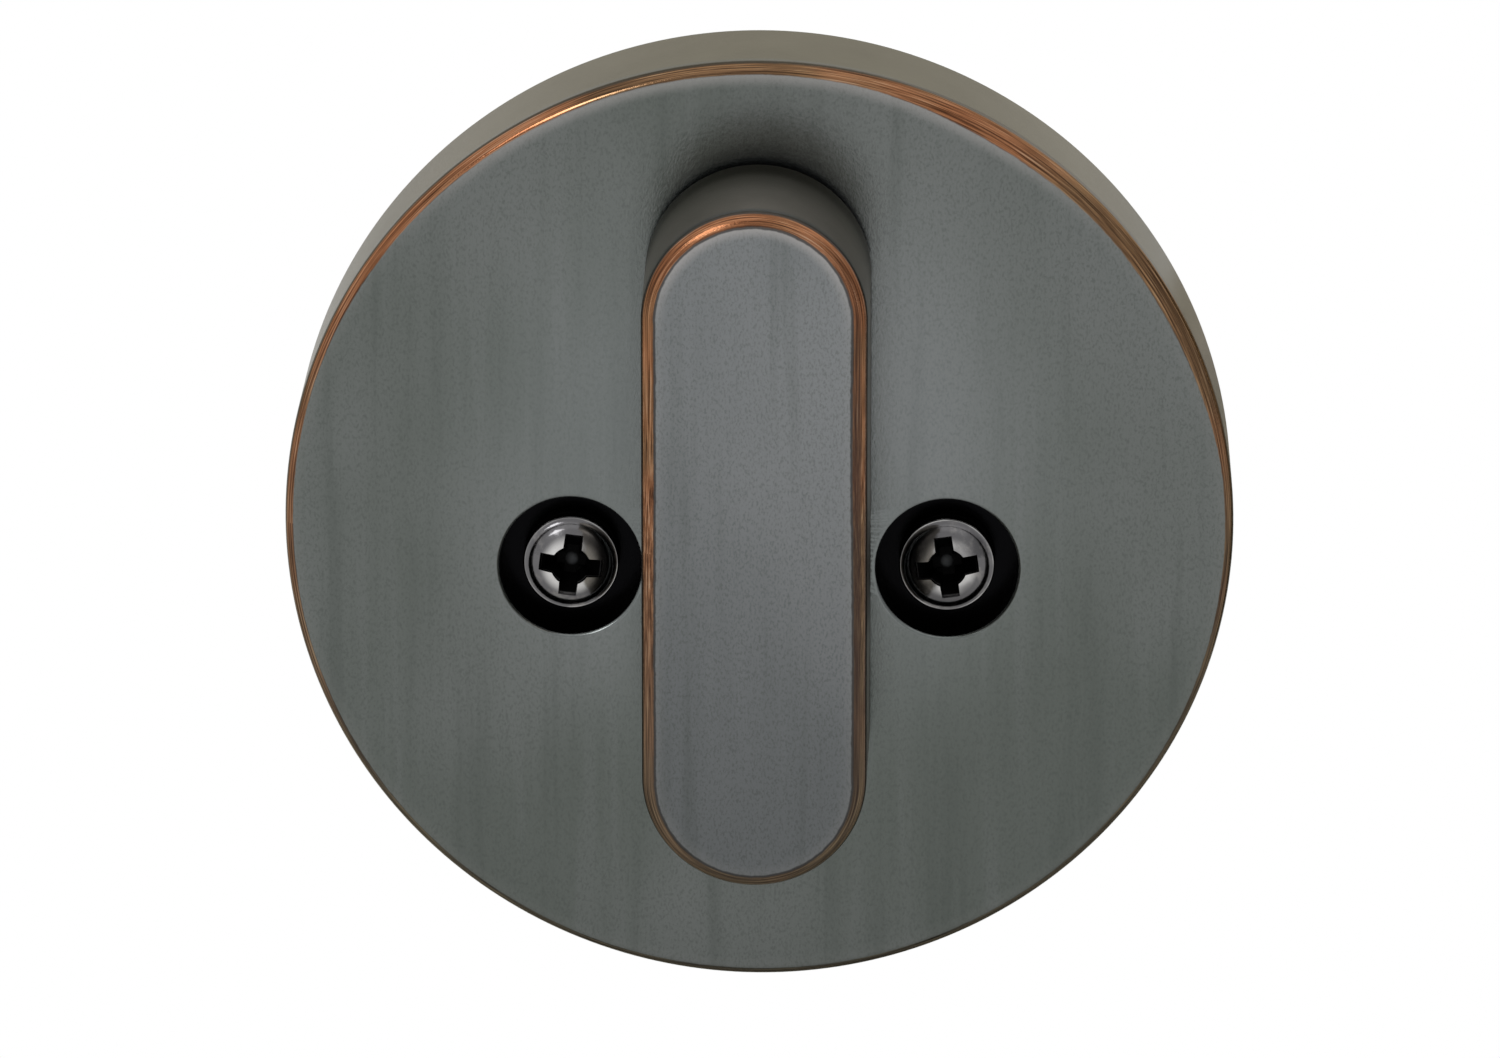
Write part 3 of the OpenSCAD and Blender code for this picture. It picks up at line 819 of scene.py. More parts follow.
def arc_corner(before: Point, corner: Point, after: Point, radius: float,
               steps: int) -> list[Point]:
    """Round one corner of an outline.

    Args:
        before: The point before the corner.
        corner: The corner.
        after: The point after it.
        radius: Radius of the round.
        steps: Number of straight pieces in it.

    Returns:
        The points that take the corner's place.
    """
    c = Vector(corner)
    a = (Vector(before) - c).normalized()
    b = (Vector(after) - c).normalized()
    half = a.angle(b) / 2
    if radius <= 0 or half > math.radians(89.5):
        return [corner]
    reach = radius / math.tan(half)
    middle = c + (a + b).normalized() * (radius / math.sin(half))
    start, end = c + a * reach - middle, c + b * reach - middle
    sweep = math.atan2(start.x * end.y - start.y * end.x, start.dot(end))
    points = []
    for index in range(steps + 1):
        angle = sweep * index / steps
        turned = Vector((start.x * math.cos(angle) - start.y * math.sin(angle),
                         start.x * math.sin(angle) + start.y * math.cos(angle)))
        points.append(tuple(middle + turned))
    return points


def rounded(corners: Sequence[tuple[float, float, float]], steps: int = 5) -> list[Point]:
    """Round the corners of a closed outline.

    Args:
        corners: Points as x, y and the radius of the round there.
        steps: Number of straight pieces in each round.

    Returns:
        The rounded outline.
    """
    points: list[Point] = []
    count = len(corners)
    for index, (x, y, radius) in enumerate(corners):
        before = corners[index - 1][:2]
        after = corners[(index + 1) % count][:2]
        points.extend(arc_corner(before, (x, y), after, radius, steps))
    return points


@dataclass(frozen=True)
class NodeBox:
    """A CAD node's box at rest, in millimetres."""

    low: Place
    high: Place

    @classmethod
    def of(cls, node: str) -> NodeBox:
        """Read a node's box, to a micrometre."""
        low, high = (tuple(round(value / MM, 3) for value in corner)
                     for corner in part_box(node))
        return cls(low, high)

    def middle(self, axis: int) -> float:
        """Give the box's middle along an axis."""
        return round((self.low[axis] + self.high[axis]) / 2, 4)

    def half(self, axis: int) -> float:
        """Give half the box's size along an axis."""
        return round((self.high[axis] - self.low[axis]) / 2, 4)


def quarter(steps: int) -> list[Point]:
    """Give the sine and cosine of angles from 0 to a right angle."""
    angles = [math.pi / 2 * index / steps for index in range(steps + 1)]
    return [(math.sin(angle), math.cos(angle)) for angle in angles]


class Maker:
    """Makes plain objects from outlines and from the CAD nodes."""

    @staticmethod
    def from_bmesh(name: str, work: bmesh.types.BMesh) -> bpy.types.Object:
        """Turn a bmesh into an object, with its faces pointing outwards.

        Args:
            name: Name of the object.
            work: The mesh, which is freed.

        Returns:
            The object, at the origin.
        """
        bmesh.ops.remove_doubles(work, verts=work.verts, dist=1e-7)
        bmesh.ops.recalc_face_normals(work, faces=work.faces)
        mesh = bpy.data.meshes.new(name)
        work.to_mesh(mesh)
        work.free()
        piece = bpy.data.objects.new(name, mesh)
        bpy.context.scene.collection.objects.link(piece)
        return piece

    @staticmethod
    def lathe(name: str, outline: Sequence[Point], centre: Point = (0.0, 0.0),
              around: str = "Y", count: int = 160) -> bpy.types.Object:
        """Turn a closed outline about an axis.

        Args:
            name: Name of the object.
            outline: Points as radius and place along the axis, in millimetres.
            centre: The axis's place across: X and Z for a Y axis, Y and Z for X,
                X and Y for Z.
            around: The axis, X, Y or Z.
            count: Number of steps round it.

        Returns:
            The object.
        """
        work = bmesh.new()
        rings: list[list[bmesh.types.BMVert]] = []
        for radius, along in outline:
            ring = []
            for step in range(count if radius > 1e-6 else 1):
                angle = math.tau * step / count
                u = centre[0] + radius * math.cos(angle)
                v = centre[1] + radius * math.sin(angle)
                place = {"Y": (u, along, v), "X": (along, u, v), "Z": (u, v, along)}[around]
                ring.append(work.verts.new([value * MM for value in place]))
            rings.append(ring)
        for index, ring in enumerate(rings):
            other = rings[(index + 1) % len(rings)]
            if len(ring) == 1 and len(other) == 1:
                continue
            for step in range(count):
                after = (step + 1) % count
                corners = [ring[step % len(ring)], ring[after % len(ring)],
                           other[after % len(other)], other[step % len(other)]]
                unique = list(dict.fromkeys(corners))
                if len(unique) >= 3:
                    work.faces.new(unique)
        return Maker.from_bmesh(name, work)

    @staticmethod
    def stack(name: str, rings: Sequence[Sequence[Vector]]) -> bpy.types.Object:
        """Skin a stack of equal rings and close its ends.

        Args:
            name: Name of the object.
            rings: Rings of points in metres, each with the same count.

        Returns:
            The object.
        """
        work = bmesh.new()
        rows = [[work.verts.new(point) for point in ring] for ring in rings]
        count = len(rows[0])
        for low, high in zip(rows, rows[1:]):
            for step in range(count):
                after = (step + 1) % count
                work.faces.new([low[step], low[after], high[after], high[step]])
        work.faces.new(rows[0][::-1])
        work.faces.new(rows[-1])
        return Maker.from_bmesh(name, work)

    @staticmethod
    def bake(piece: bpy.types.Object) -> bpy.types.Object:
        """Turn an object's modifiers into plain mesh.

        Args:
            piece: The object.

        Returns:
            The same object, with no modifiers.
        """
        bpy.context.view_layer.update()
        graph = bpy.context.evaluated_depsgraph_get()
        mesh = bpy.data.meshes.new_from_object(piece.evaluated_get(graph))
        piece.modifiers.clear()
        piece.data = mesh
        return piece

    @staticmethod
    def cut(piece: bpy.types.Object, tools: Sequence[bpy.types.Object],
            kind: str = "DIFFERENCE") -> bpy.types.Object:
        """Cut or join an object with others, which are then removed.

        Args:
            piece: The object that stays.
            tools: The objects that cut or join it.
            kind: DIFFERENCE or UNION.

        Returns:
            The changed object.
        """
        for tool in tools:
            step = piece.modifiers.new("step", "BOOLEAN")
            step.operation = kind
            step.solver = "EXACT"
            step.object = tool
        Maker.bake(piece)
        for tool in tools:
            bpy.data.objects.remove(tool, do_unlink=True)
        return piece

    @staticmethod
    def smooth(piece: bpy.types.Object, angle: float = 32.0) -> bpy.types.Object:
        """Shade smooth, but keep the sharp edges sharp.

        Args:
            piece: The object.
            angle: Edges flatter than this many degrees are smooth.

        Returns:
            The same object.
        """
        work = bmesh.new()
        work.from_mesh(piece.data)
        limit = math.radians(angle)
        for edge in work.edges:
            edge.smooth = len(edge.link_faces) == 2 and edge.calc_face_angle() < limit
        for face in work.faces:
            face.smooth = True
        work.to_mesh(piece.data)
        work.free()
        return piece

    @staticmethod
    def levelled(piece: bpy.types.Object) -> bpy.types.Object:
        """Shade flat faces flat, so that only the eased edges look round."""
        weigh = piece.modifiers.new("weigh", "WEIGHTED_NORMAL")
        weigh.mode = "FACE_AREA"
        weigh.weight = 60
        weigh.keep_sharp = True
        return Maker.bake(piece)

    @staticmethod
    def refined(node: str, width: float, steps: int = 2) -> bpy.types.Object:
        """Copy a CAD node and ease its sharp edges.

        Args:
            node: Name of the CAD node.
            width: Width of the eased edge, in millimetres.
            steps: Number of pieces across it.

        Returns:
            The new object.
        """
        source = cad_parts[node]
        source = bpy.data.objects[source] if isinstance(source, str) else source
        work = bmesh.new()
        work.from_mesh(source.data)
        bmesh.ops.remove_doubles(work, verts=work.verts, dist=1e-6)
        bmesh.ops.dissolve_limit(work, angle_limit=math.radians(0.4), verts=work.verts,
                                 edges=work.edges, delimit={"NORMAL"})
        piece = Maker.from_bmesh(f"{node}_eased", work)
        ease = piece.modifiers.new("ease", "BEVEL")
        ease.width = width * MM
        ease.segments = steps
        ease.limit_method = "ANGLE"
        ease.angle_limit = math.radians(38)
        ease.use_clamp_overlap = True
        ease.harden_normals = False
        Maker.bake(piece)
        return Maker.smooth(piece, 40.0)


# -------------------------------------------------------------- geometry trees


class Tree:
    """A geometry node tree with named number inputs."""

    def __init__(self, name: str, sizes: dict[str, float]) -> None:
        """Start a tree.

        Args:
            name: Name of the tree.
            sizes: Its inputs and their values, in metres or turns.
        """
        self.group = bpy.data.node_groups.new(name, "GeometryNodeTree")
        face = self.group.interface
        face.new_socket("Geometry", in_out="INPUT", socket_type="NodeSocketGeometry")
        self.sockets = {}
        for key, value in sizes.items():
            socket = face.new_socket(key, in_out="INPUT", socket_type="NodeSocketFloat")
            socket.default_value = value
            self.sockets[key] = socket.identifier
        face.new_socket("Finish", in_out="INPUT", socket_type="NodeSocketMaterial")
        face.new_socket("Geometry", in_out="OUTPUT", socket_type="NodeSocketGeometry")
        self.start = self.group.nodes.new("NodeGroupInput")
        self.end = self.group.nodes.new("NodeGroupOutput")
        self.values = sizes

    def node(self, kind: str, **links: Socket | float | int | Sequence[float]
             ) -> bpy.types.Node:
        """Add a node and feed its inputs by name.

        Args:
            kind: The node's type.
            links: Inputs, with underscores for spaces, as sockets or values.

        Returns:
            The node.
        """
        node = self.group.nodes.new(kind)
        for key, value in links.items():
            socket = node.inputs[key.replace("_", " ")]
            if isinstance(value, bpy.types.NodeSocket):
                self.group.links.new(value, socket)
            else:
                socket.default_value = value
        return node

    def size(self, key: str) -> Socket:
        """Give the socket of a named size."""
        return self.start.outputs[key]

    def close(self, shapes: Sequence[Socket]) -> None:
        """Join the shapes, realize them and set their material.

        Args:
            shapes: Geometry sockets to join.
        """
        join = self.group.nodes.new("GeometryNodeJoinGeometry")
        for shape in reversed(shapes):
            self.group.links.new(shape, join.inputs[0])
        real = self.node("GeometryNodeRealizeInstances", Geometry=join.outputs[0])
        dress = self.node("GeometryNodeSetMaterial", Geometry=real.outputs[0],
                          Material=self.start.outputs["Finish"])
        self.group.links.new(dress.outputs[0], self.end.inputs[0])

    def make(self, name: str, finish: bpy.types.Material) -> bpy.types.Object:
        """Run the tree on an empty mesh and keep the result as plain mesh.

        Args:
            name: Name of the piece.
            finish: Its material.

        Returns:
            The piece, at the origin.
        """
        piece = bpy.data.objects.new(name, bpy.data.meshes.new(name))
        bpy.context.scene.collection.objects.link(piece)
        grow = piece.modifiers.new("grow", "NODES")
        grow.node_group = self.group
        for key, value in self.values.items():
            grow[self.sockets[key]] = value
        for item in self.group.interface.items_tree:
            if item.name == "Finish":
                grow[item.identifier] = finish
        return Maker.bake(piece)


def coil_tree(radius: float, wire: float, low: float, height: float, turns: float,
              sides: int) -> Tree:
    """Make a tree for a wire coiled about Z.

    Args:
        radius: Radius of the coil's middle, in millimetres.
        wire: Radius of the wire.
        low: Where the coil starts.
        height: How far it rises.
        turns: Number of turns.
        sides: Number of sides of the wire.

    Returns:
        The tree.
    """
    tree = Tree("coil", {"Radius": radius * MM, "Wire": wire * MM, "Low": low * MM,
                         "Height": height * MM, "Turns": turns})
    helix = tree.node("GeometryNodeCurveSpiral", Resolution=28, Rotations=tree.size("Turns"),
                      Start_Radius=tree.size("Radius"), End_Radius=tree.size("Radius"),
                      Height=tree.size("Height"))
    section = tree.node("GeometryNodeCurvePrimitiveCircle", Resolution=sides,
                        Radius=tree.size("Wire"))
    skin = tree.node("GeometryNodeCurveToMesh", Curve=helix.outputs[0],
                     Profile_Curve=section.outputs[0], Fill_Caps=True)
    lift = tree.node("ShaderNodeCombineXYZ", Z=tree.size("Low"))
    place = tree.node("GeometryNodeTransform", Geometry=skin.outputs[0],
                      Translation=lift.outputs[0])
    tree.close([place.outputs[0]])
    return tree


# ---------------------------------------------------------------- sub-assembly


class SubAssembly:
    """Shared ways to dress a group of pieces."""

    title = "sub-assembly"

    def settle(self, piece: bpy.types.Object, node: str, body: str, slot: str,
               finish: bpy.types.Material) -> None:
        """Dress a piece, put it on its body and let it stand for a CAD node.

        Args:
            piece: The piece.
            node: The CAD node it stands for.
            body: The body it moves with.
            slot: Not used.
            finish: The material.
        """
        Maker.levelled(piece)
        piece.data.materials.clear()
        piece.data.materials.append(finish)
        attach(piece, body)
        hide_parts(node)
        log.info("%s: %s, %d faces", self.title, piece.name, len(piece.data.polygons))

    def ease(self, node: str, body: str, slot: str, finish: bpy.types.Material,
             width: float = 0.2) -> None:
        """Replace a CAD node by a copy with eased edges.

        Args:
            node: The CAD node.
            body: The body it moves with.
            slot: The record's material slot.
            finish: The material.
            width: Width of the eased edges, in millimetres.
        """
        self.settle(Maker.refined(node, width), node, body, slot, finish)


@dataclass
class InsideTrim(SubAssembly):
    """The rose, the thumbturn and what holds them. Sizes in millimetres.

    The three boxes give the places; the screw's is the right-hand one. The groove
    is the clip's: its place, its width and its depth.
    """

    title = "inside trim"
    rose_box: NodeBox
    turn_box: NodeBox
    screw_box: NodeBox
    body: str = "trim"
    rose_wall: float = 2.2
    rose_plate: float = 3.0
    bevel: Point = (0.8, 1.2)
    chamfer: float = 0.3
    fillet: float = 1.2
    boss: Point = (9.0, -26.1)
    shank: float = 5.5
    shank_end: float = -23.2
    groove: Place = (-25.0, 1.0, 0.8)
    recess: Point = (4.95, 3.4)
    lip: float = 0.28
    post_wall: float = 1.5
    screw_hole: float = 2.3
    turn_gap: float = 1.0
    turn_edge: float = 1.1
    turn_flare: float = TURN_FLARE
    slot: Point = (1.26, 3.26)
    slot_ends: Point = (-39.1, -20.0)
    head: Place = (3.35, 3.6, 1.2)
    screw_shank: float = 1.72
    screw_end: float = 15.9

    def __post_init__(self) -> None:
        """Take the places from the CAD nodes' boxes."""
        self.face, self.door = self.rose_box.low[Y], self.rose_box.high[Y]
        self.rose_radius = self.rose_box.half(X)
        self.spindle = self.turn_box.middle(Z)
        self.screw_place: Point = (self.screw_box.middle(X), self.screw_box.middle(Z))
        self.turn_front = self.turn_box.low[Y]
        self.turn_back = self.face - self.turn_gap
        self.turn_half = self.turn_box.half(X) - self.turn_flare
        self.turn_straight = self.turn_box.half(Z) - self.turn_box.half(X)

    def _at_screws(self, name: str, outline: Sequence[Point]) -> list[bpy.types.Object]:
        """Turn one outline about each screw's axis."""
        across, height = self.screw_place
        return [Maker.lathe(name, outline, (sign * across, height), count=96)
                for sign in (-1, 1)]

    def _rose_shell(self) -> bpy.types.Object:
        """Turn the rose's shell with its rounded brow.

        Returns:
            The shell, without bosses and holes.
        """
        inner, floor = self.rose_radius - self.rose_wall, self.face + self.rose_plate
        across, deep = self.bevel
        flat = self.rose_radius - across
        brow = [(flat + across * sine, self.face + deep - deep * cosine)
                for sine, cosine in quarter(14)]
        outline = [(0.0, self.face), (flat - 0.25, self.face), *brow,
                   (self.rose_radius, self.door - self.chamfer),
                   (self.rose_radius - self.chamfer, self.door),
                   (inner + self.chamfer, self.door), (inner, self.door - self.chamfer),
                   (inner, floor + self.fillet), (inner - self.fillet, floor), (0.0, floor)]
        return Maker.lathe("rose_shell", outline, count=256)

    def rose(self, finish: bpy.types.Material) -> None:
        """Turn the rose's shell, join its bosses and cut its holes.

        Args:
            finish: The rose's bronze.
        """
        shell = self._rose_shell()
        inside = self.face + self.rose_plate / 2
        radius, back = self.boss
        boss = rounded([(0, inside, 0), (radius, inside, 0), (radius, back, 0.4),
                        (0, back, 0)])
        bore, depth = self.recess
        wall = bore + self.post_wall
        post = rounded([(0, inside, 0), (wall, inside, 0), (wall, self.door - 1, 0.4),
                        (0, self.door - 1, 0)])
        tools = [Maker.lathe("boss", boss, (0, self.spindle), count=96)]
        Maker.cut(shell, tools + self._at_screws("post", post), "UNION")
        seat = self.face + depth
        arc = [(bore + self.lip - self.lip * sine, self.face + self.lip - self.lip * cosine)
               for sine, cosine in quarter(5)]
        hole = [(0, self.face - 1), (bore + self.lip, self.face - 1), *arc, (bore, seat),
                (self.screw_hole, seat), (self.screw_hole, self.door), (0, self.door)]
        relief = [(radius + 0.3, back), (radius + 0.3, self.door + 1), (0, self.door + 1),
                  (0, back)]
        eye = [(0, self.face - 1), (self.shank + 0.3, self.face - 1),
               (self.shank + 0.3, self.face), (self.shank + 0.05, self.face + 0.25),
               (self.shank + 0.05, back + 1), (0, back + 1)]
        Maker.cut(shell, [*self._at_screws("hole", hole),
                          Maker.lathe("relief", relief, (0, self.spindle), count=96),
                          Maker.lathe("eye", eye, (0, self.spindle), count=96)])
        self.settle(Maker.smooth(shell, 28), "rose", self.body, "bronze", finish)

    def _pill(self, half: float, along: float, count: int = 64) -> list[Vector]:
        """Give one ring of the turn's outline at a plane.

        Args:
            half: Half width there.
            along: The plane's place along Y.
            count: Steps in each rounded end.

        Returns:
            Points in metres.
        """
        ring = []
        for end in (1, -1):
            for step in range(count + 1):
                angle = math.pi * step / count + (0 if end > 0 else math.pi)
                ring.append(Vector((half * math.cos(angle), along, self.spindle + end
                                    * self.turn_straight + half * math.sin(angle))) * MM)
        return ring

    def thumbturn(self, finish: bpy.types.Material) -> None:
        """Skin the turn's pill, join its shank and cut the blade's slot.

        Args:
            finish: The turn's bronze.
        """
        edge, half, flare = self.turn_edge, self.turn_half, self.turn_flare
        back, brow, ease = self.turn_back, self.turn_front + self.turn_edge, 0.25
        levels = [(half + flare - ease, back), (half + flare - 0.07, back - 0.07),
                  (half + flare, back - ease)]
        levels += [(half + flare * (1 - i / 6), back - ease + (brow - back + ease) * i / 6)
                   for i in range(1, 7)]
        levels += [(half - edge + edge * cosine, brow - edge * sine)
                   for sine, cosine in quarter(10)[1:]]
        levels.append((half - edge - ease, self.turn_front))
        pill = Maker.stack("thumbturn_shaped", [self._pill(*level) for level in levels])
        place, width, depth = self.groove
        shank = [(0, back - 1), (self.shank, back - 1), (self.shank, place),
                 (self.shank - depth, place), (self.shank - depth, place + width),
                 (self.shank, place + width), (self.shank, self.shank_end - 0.2),
                 (self.shank - 0.2, self.shank_end), (0, self.shank_end)]
        stem = Maker.lathe("stem", shank, (0, self.spindle), count=96)
        Maker.cut(pill, [stem], "UNION")
        across, tall = self.slot
        slot = Maker.stack("slot", [[Vector((sx * across, y, self.spindle + sz * tall)) * MM
                                     for sx, sz in ((-1, -1), (1, -1), (1, 1), (-1, 1))]
                                    for y in self.slot_ends])
        Maker.cut(pill, [slot])
        self.settle(Maker.smooth(pill, 28), "thumbturn", "turn", "bronze", finish)

    def screw(self, node: str, sign: int, turned: float) -> None:
        """Make one cross-head machine screw with its thread.

        Its shank ends 0.3 mm past the CAD screw's, out of sight in the housing's post.

        Args:
            node: The CAD node it stands for.
            sign: -1 for the left screw, 1 for the right.
            turned: How far its cross is turned, in degrees.
        """
        x, z = sign * self.screw_place[0], self.screw_place[1]
        seat = self.face + self.recess[1]
        radius, height, dome = self.head
        top = seat - height
        ball = (radius * radius + dome * dome) / (2 * dome)
        finish = BlackScrew(f"{node}_black", (x, z), top, ball).build()
        crown = [(ball * math.sin(a), top + ball - ball * math.cos(a)) for a in
                 (math.asin(radius * 0.8 / ball) * i / 12 for i in range(13))]
        edge = crown[-1][1]
        shoulder = [(radius * 0.85, edge + 0.2), (radius * 0.9, edge + 0.34),
                    (radius * 0.955, edge + 0.4), (radius * 0.97, edge + 0.4),
                    (radius * 0.99, edge + 0.46), (radius, edge + 0.6)]
        outline = [*crown, *shoulder, (radius, seat - 0.15), (radius - 0.15, seat),
                   (self.screw_shank, seat), (self.screw_shank, self.screw_end - 0.6),
                   (self.screw_shank - 0.52, self.screw_end), (0, self.screw_end)]
        head = Maker.lathe(f"{node}_shaped", outline, (x, z), count=96)
        arms = self._cross(x, z, top, math.radians(turned))
        Maker.cut(head, arms)
        pitch, start, end = 0.79, -18.0, 15.0
        tree = coil_tree(1.7, 0.3, start, end - start, (end - start) / pitch, 6)
        thread = tree.make(f"{node}_thread", finish)
        thread.data.transform(Matrix.Translation(Vector((x, 0, z)) * MM)
                              @ Matrix.Rotation(-math.pi / 2, 4, "X"))
        joined = self._join(head, thread)
        self.settle(Maker.smooth(joined, 32), node, self.body, "screw_black", finish)

    @staticmethod
    def _join(piece: bpy.types.Object, other: bpy.types.Object) -> bpy.types.Object:
        """Put another object's faces into a piece's mesh."""
        work = bmesh.new()
        work.from_mesh(piece.data)
        work.from_mesh(other.data)
        work.to_mesh(piece.data)
        work.free()
        bpy.data.objects.remove(other, do_unlink=True)
        return piece

    @staticmethod
    def _cross(x: float, z: float, top: float, turned: float) -> list[bpy.types.Object]:
        """Make the cutters of a cross recess.

        Args:
            x: Place of the screw along X.
            z: Its place along Z.
            top: The crown's plane along Y.
            turned: Angle of the cross, in radians.

        Returns:
            Two tapered bars and a cone.
        """
        tools = []
        for quarter in (0.0, math.pi / 2):
            rings = []
            for depth, length, width in ((-0.6, 2.5, 0.74), (0.5, 2.2, 0.62),
                                         (2.2, 1.0, 0.42)):
                ring = []
                for u, v in ((-1, -1), (1, -1), (1, 1), (-1, 1)):
                    point = Vector((u * length, 0, v * width))
                    point.rotate(Matrix.Rotation(turned + quarter, 3, "Y"))
                    ring.append((point + Vector((x, top + depth, z))) * MM)
                rings.append(ring)
            tools.append(Maker.stack("arm", rings))
        tools.append(Maker.lathe("pit", [(0, top - 0.6), (1.62, top - 0.6), (0.9, top + 1.9),
                                         (0, top + 2.6)], (x, z), count=40))
        return tools

    def build(self, bronze_rose: bpy.types.Material, bronze_turn: bpy.types.Material,
              steel: bpy.types.Material) -> None:
        """Build every piece of the inside trim.

        Args:
            bronze_rose: Finish of the rose.
            bronze_turn: Finish of the thumbturn.
            steel: Finish of the hidden pieces.
        """
        self.rose(bronze_rose)
        self.thumbturn(bronze_turn)
        self.screw("screw_left", -1, 7)
        self.screw("screw_right", 1, -8)
        self.ease("spring_washer", self.body, "steel", steel, 0.08)
        self.ease("turn_clip", "turn", "steel", steel, 0.15)
        self.ease("torque_blade", "turn", "steel", steel, 0.25)


@dataclass
class BoltAssembly(SubAssembly):
    """The faceplate, the bolt and the crank that throws it."""

    title = "bolt assembly"
    body: str = "trim"

    def build(self, bronze: bpy.types.Material, plated: bpy.types.Material,
              steel: bpy.types.Material, hard: bpy.types.Material) -> None:
        """Build every piece of the bolt assembly.

        Args:
            bronze: Finish of the faceplate.
            plated: Finish of the tube and the case.
            steel: Finish of the works.
            hard: Finish of the bolt.
        """
        self.ease("faceplate", self.body, "bronze", bronze, 0.35)
        for node in ("bolt_tube", "bolt_case"):
            self.ease(node, self.body, "zinc", plated)
        for node in ("guide_rivet", "case_rivet"):
            self.ease(node, self.body, "steel", steel, 0.3)
        for node, body in (("hub", "crank"), ("bolt_link", "deadbolt"),
                           ("link_pin", "deadbolt")):
            self.ease(node, body, "steel", steel)
        self.ease("bolt", "deadbolt", "steel", hard, 0.3)
        self.ease("roller_pin", "roller", "steel", steel, 0.3)


@dataclass
class OutsideTrim(SubAssembly):
    """The housing, the free-turning guard ring and the front cap."""

    title = "outside trim"
    guard_box: NodeBox
    cap_box: NodeBox
    spindle: float
    body: str = "trim"
    front_radius: float = GUARD_FRONT
    bore: float = 22.1
    flange: Point = (28.3, 3.7)
    cap: Point = (25.3, 22.7)
    gap: float = 0.3
    hole: float = 11.5

    def guard_ring(self, finish: bpy.types.Material) -> None:
        """Turn the guard ring with rounded edges.

        Args:
            finish: The guard ring's bronze.
        """
        radius = self.guard_box.half(X)
        low, front = self.guard_box.low[Y], self.guard_box.high[Y]
        door = low - self.gap
        (lip, step), (seat, rear) = self.flange, self.cap
        outline = rounded([
            (lip, low, 0.15), (radius, low, 0.3), (radius, door + 6, 3.0),
            (self.front_radius + 0.25, front, 1.0), (seat, front, 0.25),
            (seat, door + rear, 0.1), (self.bore, door + rear, 0.1),
            (self.bore, door + step, 0.1), (lip, door + step, 0.2)], 8)
        ring = Maker.lathe("guard_ring_shaped", outline, count=224)
        self.settle(Maker.smooth(ring, 28), "guard_ring", "guard", "bronze", finish)

    def front_cap(self, finish: bpy.types.Material) -> None:
        """Turn the front cap and cut the cylinder's hole.

        Args:
            finish: The cap's bronze.
        """
        radius, back, front = self.cap_box.high[X], self.cap_box.low[Y], self.cap_box.high[Y]
        outline = rounded([(0, front, 0), (radius, front, 0.35), (radius, back, 0.1),
                           (0, back, 0)], 6)
        disc = Maker.lathe("front_cap_shaped", outline, count=192)
        hole = [(0, back - 1), (self.hole, back - 1), (self.hole, front - 0.3),
                (self.hole + 0.3, front), (self.hole + 0.3, front + 1), (0, front + 1)]
        Maker.cut(disc, [Maker.lathe("hole", hole, (0, self.spindle), count=128)])
        self.settle(Maker.smooth(disc, 28), "front_cap", self.body, "bronze", finish)

    def build(self, cast: bpy.types.Material, bronze_guard: bpy.types.Material,
              bronze_cap: bpy.types.Material) -> None:
        """Build every piece of the outside trim.

        Args:
            cast: Finish of the housing.
            bronze_guard: Finish of the guard ring.
            bronze_cap: Finish of the front cap.
        """
        self.ease("housing", self.body, "cast", cast, 0.3)
        self.guard_ring(bronze_guard)
        self.front_cap(bronze_cap)


